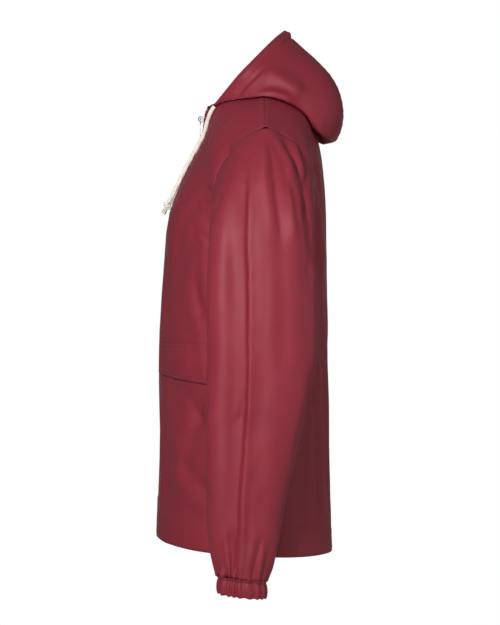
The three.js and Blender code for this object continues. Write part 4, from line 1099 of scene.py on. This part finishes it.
# Zip: woven tape behind the fronts, and two rows of teeth that mesh in the gap
zipDetail = {
    "tapeHalf": 0.0135,
    "tapeThickness": 0.0008,
    "pitch": 0.0026,
    "toothWidth": 0.0034,
    "toothHeight": 0.0015,
    "toothDepth": 0.0018,
    "toothAside": 0.0009,
    "toothBevel": 0.0002,
    "tapeFrom": 0.0055,        # the solid tape is read between these, clear of its chain and edges
    "tapeTo": 0.0125,
}
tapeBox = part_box("zip_tape")
tapeSteps = [0.002 * k for k in range(12)]       # how far down to look where the tape's top is cut
tapeBm = bmesh.new()
tapeBm.from_mesh(nodes["zip_tape"].data)
tapeTree = BVHTree.FromBMesh(tapeBm)
tapeBm.free()


def tapeFront(x, z):
    hit, _, _, _ = tapeTree.ray_cast(Vector((x, -0.4, z)), Vector((0, 1, 0)))
    return hit.y if hit else None


def makeTape():
    bm = bmesh.new()
    columns = 8
    rows = 150
    low = tapeBox[0][2] + 0.001
    high = tapeBox[1][2] - 0.001
    bmesh.ops.create_grid(bm, x_segments=columns, y_segments=rows, size=0.5)
    half = zipDetail["tapeHalf"]
    for vert in bm.verts:
        x = vert.co.x * 2 * half
        z = low + (vert.co.y + 0.5) * (high - low)
        beside = math.copysign(min(max(abs(x), zipDetail["tapeFrom"]), zipDetail["tapeTo"]), x)
        vert.co = (x, next(y for y in (tapeFront(beside, z - down) for down in tapeSteps) if y), z)
    bmesh.ops.recalc_face_normals(bm, faces=bm.faces)
    bm.faces.ensure_lookup_table()
    if bm.faces[0].normal.y > 0:
        bmesh.ops.reverse_faces(bm, faces=bm.faces)
    piece = meshObject("zip_tape_cloth", bm)
    wall = piece.modifiers.new("wall", "SOLIDIFY")
    wall.thickness = zipDetail["tapeThickness"]
    wall.offset = -1
    return piece


def makeTeeth():
    bm = bmesh.new()
    low = tapeBox[0][2] + 0.004
    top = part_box("zip_slider")[1][2] - 0.001
    count = int((top - low) / zipDetail["pitch"])
    for k in range(2 * count):
        z = low + k * zipDetail["pitch"] / 2
        side = 1 if k % 2 else -1
        y = tapeFront(0, z)
        if y is None:
            continue
        tooth = bmesh.ops.create_cube(bm, size=1)["verts"]
        size = (zipDetail["toothWidth"], zipDetail["toothDepth"], zipDetail["toothHeight"])
        bmesh.ops.scale(bm, vec=size, verts=tooth)
        for vert in tooth:
            if vert.co.x * side > 0:
                vert.co.z *= 0.7
        place = (side * zipDetail["toothAside"], y + zipDetail["toothDepth"] * 0.45, z)
        bmesh.ops.translate(bm, vec=place, verts=tooth)
    bmesh.ops.bevel(bm, geom=bm.edges[:], offset=zipDetail["toothBevel"], affect="EDGES", segments=1,
                    profile=0.5, material=-1)
    return meshObject("zip_teeth", bm, smooth=False)


zipTape = makeTape()
zipTeeth = makeTeeth()
print("zip laid in")


# Stitches: short raised threads along each topstitched line
stitchDetail = {"length": 0.0027, "pitch": 0.0034, "radius": 0.00032, "sink": 0.00006, "reach": 0.004}


def stitchLine(bm, piece, tree, run, offset):
    # Sews along an edge run at a distance inside it
    points = places(piece.data)
    line = [Vector(points[index]) for index in run]
    if len(line) < 4:
        return
    moved = []
    for i, point in enumerate(line):
        before = line[max(i - 2, 0)]
        after = line[min(i + 2, len(line) - 1)]
        tangent = (after - before).normalized()
        _, normal, _, _ = tree.find_nearest(point)
        inward = tangent.cross(normal).normalized()
        spot, _, _, gap = tree.find_nearest(point + inward * offset)
        opposite, _, _, gapOther = tree.find_nearest(point - inward * offset)
        moved.append(spot if gap < gapOther else opposite)
    spaced, total = throughPoints(moved[::2], stitchDetail["pitch"])
    for i in range(len(spaced) - 1):
        middle = (spaced[i] + spaced[i + 1]) / 2
        spot, normal, _, gap = tree.find_nearest(middle)
        if gap > stitchDetail["reach"]:
            continue
        direction = (spaced[i + 1] - spaced[i]).normalized()
        direction = (direction - normal * direction.dot(normal)).normalized()
        side = normal.cross(direction)
        turn = Matrix((direction, side, normal)).transposed().to_4x4()
        turn.translation = spot - normal * stitchDetail["sink"]
        radius = stitchDetail["radius"]
        stitch = bmesh.ops.create_icosphere(bm, subdivisions=1, radius=1)["verts"]
        half = stitchDetail["length"] / 2
        bmesh.ops.scale(bm, vec=(half, radius * 1.15, radius), verts=stitch)
        bmesh.ops.transform(bm, matrix=turn, verts=stitch)


def sewStitches(name, lines):
    bm = bmesh.new()
    piece = sheets[name]
    source = bmesh.new()
    source.from_mesh(piece.data)
    tree = BVHTree.FromBMesh(source)
    source.free()
    for run, offset in lines:
        stitchLine(bm, piece, tree, run, offset)
    return meshObject(f"{name}_stitches", bm)


hemRows = [("hem", hemDetail["stitch"]), ("hem", hemDetail["secondStitch"])]
frontRows = hemRows + [("side", 0.008), ("zip", 0.006), ("shoulder", 0.008)]
hoodRows = [("face", 0.018), ("crown", 0.005)]
flapRows = [("all", 0.003), ("all", 0.0085)]
stitchPlan = {
    "front_left": frontRows, "front_right": frontRows, "back_panel": hemRows + [("shoulder", 0.0015)],
    "hood_left": hoodRows, "hood_right": hoodRows, "flap_left": flapRows, "flap_right": flapRows,
}
stitching = []
for name, plan in stitchPlan.items():
    lines = [(run, offset) for kind, offset in plan for run in seams[name].get(kind, [])]
    stitching.append(sewStitches(name, lines))
print("stitched:", sum(len(piece.data.polygons) for piece in stitching), "stitch faces")


# Materials
class Socket:
    # One output of a node; maths on it adds Math nodes
    def __init__(self, maker, output):
        self.maker = maker
        self.output = output

    def maths(self, operation, first, second):
        return self.maker.node("ShaderNodeMath", {"operation": operation}, {0: first, 1: second})

    def __add__(self, other):
        return self.maths("ADD", self, other)

    def __radd__(self, other):
        return self.maths("ADD", other, self)

    def __sub__(self, other):
        return self.maths("SUBTRACT", self, other)

    def __rsub__(self, other):
        return self.maths("SUBTRACT", other, self)

    def __mul__(self, other):
        return self.maths("MULTIPLY", self, other)

    def __rmul__(self, other):
        return self.maths("MULTIPLY", other, self)

    def __truediv__(self, other):
        return self.maths("DIVIDE", self, other)

    def __rtruediv__(self, other):
        return self.maths("DIVIDE", other, self)

    def clamped(self):
        return self.maths("MINIMUM", self.maths("MAXIMUM", self, 0.0), 1.0)


class Finish:
    # One material, built node by node
    def __init__(self, name):
        self.material = bpy.data.materials.new(name)
        self.material.use_nodes = True
        self.tree = self.material.node_tree
        self.tree.nodes.clear()

    def plug(self, socket, value):
        if isinstance(value, Socket):
            self.tree.links.new(value.output, socket)
        elif value is not None:
            socket.default_value = value

    def node(self, kind, settings=None, values=None, output=0):
        made = self.tree.nodes.new(kind)
        for key, value in (settings or {}).items():
            setattr(made, key, value)
        for key, value in (values or {}).items():
            self.plug(made.inputs[key], value)
        return Socket(self, made.outputs[output])

    def mixColours(self, factor, first, second):
        return self.node("ShaderNodeMix", {"data_type": "RGBA"}, {0: factor, 6: first, 7: second}, 2)

    def noise(self, place, scale, detail=3.0, roughness=0.5):
        return self.node("ShaderNodeTexNoise", {"noise_dimensions": "3D"},
                         {"Vector": place, "Scale": scale, "Detail": detail, "Roughness": roughness})

    def bump(self, height, strength, distance, normal=None):
        return self.node("ShaderNodeBump", {}, {"Strength": strength, "Distance": distance,
                                                "Height": height, "Normal": normal})

    def objectPlace(self):
        return self.node("ShaderNodeTexCoord", {}, {}, 3)

    def attribute(self, name):
        return self.node("ShaderNodeAttribute", {"attribute_name": name}, {}, 2)

    def finish(self, values):
        shader = self.node("ShaderNodeBsdfPrincipled", {}, values)
        end = self.tree.nodes.new("ShaderNodeOutputMaterial")
        self.tree.links.new(shader.output, end.inputs["Surface"])
        return self.material


def colour(red, green, blue):
    return (red, green, blue, 1.0)


clothFinish = {
    "body": colour(0.268, 0.0180, 0.0350),
    "deep": colour(0.225, 0.0140, 0.0280),
    "pale": colour(0.300, 0.0240, 0.0440),
    "roughness": 0.64,
    "coat": 0.01,
    "coatRoughness": 0.45,
    "specular": 0.44,
}


def coatedCloth():
    # Cotton with a matte satin coating: soft mottling, a faint weave, and painted shade darkening the
    # cloth along its seams, stitch lines and the hood's casing groove
    made = Finish("coated_cloth")
    place = made.objectPlace()
    broad = made.noise(place, 9.0, 4.0, 0.55)
    fine = made.noise(place, 160.0, 3.0, 0.6)
    weave = made.noise(place, 1500.0, 2.0, 0.5)
    seam = made.attribute("seamDistance")
    # Painted shade: within 4 mm of each seam, stitch line and groove the cloth is mixed towards the deep
    # colour
    paintedSeamShade = (1.0 - seam / 0.004).clamped()
    body = made.mixColours(((broad - 0.5) * 1.6 + 0.5).clamped(), clothFinish["deep"], clothFinish["body"])
    body = made.mixColours(((fine - 0.45) * 1.2).clamped() * 0.45, body, clothFinish["pale"])
    body = made.mixColours(paintedSeamShade * 0.35, body, clothFinish["deep"])
    roughness = clothFinish["roughness"] + (broad - 0.5) * 0.10 + (fine - 0.5) * 0.12
    softBump = made.bump(made.noise(place, 26.0, 3.0, 0.5), 0.10, 0.0010)
    grainBump = made.bump(fine * 0.7 + weave * 0.3, 0.12, 0.0003, softBump)
    return made.finish({
        "Base Color": body, "Roughness": roughness, "Normal": grainBump,
        "Coat Weight": clothFinish["coat"], "Coat Roughness": clothFinish["coatRoughness"],
        "Specular IOR Level": clothFinish["specular"],
    })


def threadFinish():
    made = Finish("thread")
    place = made.objectPlace()
    ply = made.noise(place, 2600.0, 2.0)
    # Painted shade: the thread is a deep dark maroon so each stitch line reads as a shadowed groove
    body = made.mixColours(ply, colour(0.07, 0.007, 0.012), colour(0.15, 0.015, 0.024))
    return made.finish({"Base Color": body, "Roughness": 0.55,
                        "Normal": made.bump(ply, 0.3, 0.0002), "Sheen Weight": 0.2})


def cottonFinish():
    made = Finish("cotton_cord")
    place = made.objectPlace()
    fibre = made.noise(place, 900.0, 4.0, 0.65)
    patch = made.noise(place, 90.0, 3.0)
    body = made.mixColours(fibre, colour(0.80, 0.72, 0.61), colour(0.97, 0.94, 0.88))
    body = made.mixColours(patch * 0.3, body, colour(0.88, 0.81, 0.70))
    return made.finish({"Base Color": body, "Roughness": 0.86,
                        "Normal": made.bump(fibre, 0.6, 0.0006), "Sheen Weight": 0.3,
                        "Sheen Roughness": 0.5})


def tapeFinish():
    made = Finish("zip_tape")
    place = made.objectPlace()
    weft = made.node("ShaderNodeTexWave", {"wave_type": "BANDS", "bands_direction": "Z"},
                     {"Vector": place, "Scale": 420.0, "Distortion": 0.6, "Detail": 1.0}, 1)
    fibre = made.noise(place, 800.0, 3.0)
    body = made.mixColours(weft * 0.7, colour(0.13, 0.018, 0.03), colour(0.23, 0.034, 0.052))
    body = made.mixColours(fibre * 0.3, body, colour(0.27, 0.045, 0.066))
    return made.finish({"Base Color": body, "Roughness": 0.78,
                        "Normal": made.bump(weft + fibre * 0.4, 0.4, 0.0003)})


metal = {"colour": (0.20, 0.20, 0.20), "wornShare": (0.72, 0.72, 0.74), "roughness": 0.40}


def metalFinish():
    made = Finish("zip_metal")
    place = made.objectPlace()
    scratch = made.node("ShaderNodeMapping", {}, {"Vector": place, "Scale": (1.0, 1.0, 0.12)})
    grain = made.noise(scratch, 1400.0, 3.0)
    wear = made.noise(place, 180.0, 3.0)
    worn = [shade * share for shade, share in zip(metal["colour"], metal["wornShare"])]
    body = made.mixColours(wear * 0.5, colour(*metal["colour"]), colour(*worn))
    return made.finish({"Base Color": body, "Metallic": 1.0,
                        "Roughness": metal["roughness"] + (wear - 0.5) * 0.2,
                        "Normal": made.bump(grain, 0.12, 0.0001)})


def toothFinish():
    made = Finish("zip_teeth")
    place = made.objectPlace()
    wear = made.noise(place, 260.0, 3.0)
    body = made.mixColours(wear, colour(0.15, 0.02, 0.033), colour(0.24, 0.036, 0.055))
    return made.finish({"Base Color": body, "Roughness": 0.36 + wear * 0.1,
                        "Normal": made.bump(wear, 0.1, 0.0001)})


finishes = {
    "cloth": coatedCloth(),
    "thread": threadFinish(),
    "cotton": cottonFinish(),
    "tape": tapeFinish(),
    "metal": metalFinish(),
    "teeth": toothFinish(),
}


def dress(piece, finish):
    piece.data.materials.clear()
    piece.data.materials.append(finish)


print("materials made")


for name, piece in sheets.items():
    dress(piece, finishes["cloth"])
    wall = piece.modifiers.new("wall", "SOLIDIFY")
    wall.thickness = sheetDetail["thickness"]
    wall.offset = -1
    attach(piece, "coat")
    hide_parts(name)
for piece in stitching:
    dress(piece, finishes["thread"])
    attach(piece, "coat")
for cord, knot in cords.values():
    dress(cord, finishes["cotton"])
    dress(knot, finishes["cotton"])
dress(zipTape, finishes["tape"])
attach(zipTape, "coat")
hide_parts("zip_tape")
dress(zipTeeth, finishes["teeth"])
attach(zipTeeth, "coat")
for node in ("zip_slider", "zip_pull"):
    dress(nodes[node], finishes["metal"])

# Studio: pale floor, a lit white backdrop behind the coat, soft boxes in front of it
studio = {
    "floorZ": -1.48,
    "floorRadius": 2.6,
    "backdrop": 1.0,
    "backdropEdge": (0.022, 0.06),
    "ambient": 0.19,
    "aim": (0.1, -0.03, -0.3),
    "boxes": {      # place, width and height, power
        "key": ((1.78, -0.50, 0.26), (0.22, 0.30), 29),
        "fill": ((1.2, 3.0, 0.1), (1.6, 2.0), 16),
        "top": ((0.5, 0.2, 2.4), (1.6, 1.6), 2),
    },
}


def makeFloor():
    bm = bmesh.new()
    bmesh.ops.create_circle(bm, cap_ends=True, segments=96, radius=studio["floorRadius"])
    bmesh.ops.translate(bm, vec=(0, 0, studio["floorZ"]), verts=bm.verts)
    floor = meshObject("studio_floor", bm, smooth=False)
    made = Finish("studio_floor")
    grain = made.noise(made.objectPlace(), 12.0)
    body = made.mixColours(grain, colour(0.82, 0.82, 0.82), colour(0.88, 0.88, 0.88))
    dress(floor, made.finish({"Base Color": body, "Roughness": 0.8}))


def softBox(name, place, size, power):
    lamp = bpy.data.lights.new(name, "AREA")
    lamp.shape = "RECTANGLE"
    lamp.size, lamp.size_y = size
    lamp.energy = power
    lamp.color = (1.0, 0.985, 1.0)
    light = bpy.data.objects.new(name, lamp)
    light.location = place
    light.visible_camera = False
    light.rotation_euler = (Vector(studio["aim"]) - Vector(place)).to_track_quat("-Z", "Y").to_euler()
    bpy.context.scene.collection.objects.link(light)


def lightWorld():
    # White towards the backdrop at -X, dimmer all round
    world = bpy.data.worlds.new("studio")
    bpy.context.scene.world = world
    world.use_nodes = True
    tree = world.node_tree
    tree.nodes.clear()
    coordinates = tree.nodes.new("ShaderNodeTexCoord")
    split = tree.nodes.new("ShaderNodeSeparateXYZ")
    ramp = tree.nodes.new("ShaderNodeValToRGB")
    shades = (1, studio["ambient"])
    for stop, position, shade in zip(ramp.color_ramp.elements, studio["backdropEdge"], shades):
        stop.position = position
        stop.color = colour(shade, shade, shade)
    shifted = tree.nodes.new("ShaderNodeMath")
    shifted.operation = "ADD"
    shifted.inputs[1].default_value = 1.0
    background = tree.nodes.new("ShaderNodeBackground")
    background.inputs["Strength"].default_value = studio["backdrop"]
    output = tree.nodes.new("ShaderNodeOutputWorld")
    tree.links.new(coordinates.outputs["Generated"], split.inputs[0])
    tree.links.new(split.outputs["X"], shifted.inputs[0])
    tree.links.new(shifted.outputs[0], ramp.inputs[0])
    tree.links.new(ramp.outputs[0], background.inputs["Color"])
    tree.links.new(background.outputs[0], output.inputs["Surface"])


makeFloor()
lightWorld()
for boxName, (boxPlace, boxSize, boxPower) in studio["boxes"].items():
    softBox(boxName, boxPlace, boxSize, boxPower)
bpy.context.scene.view_settings.view_transform = "Standard"
bpy.context.scene.view_settings.look = "None"
print("studio lit")
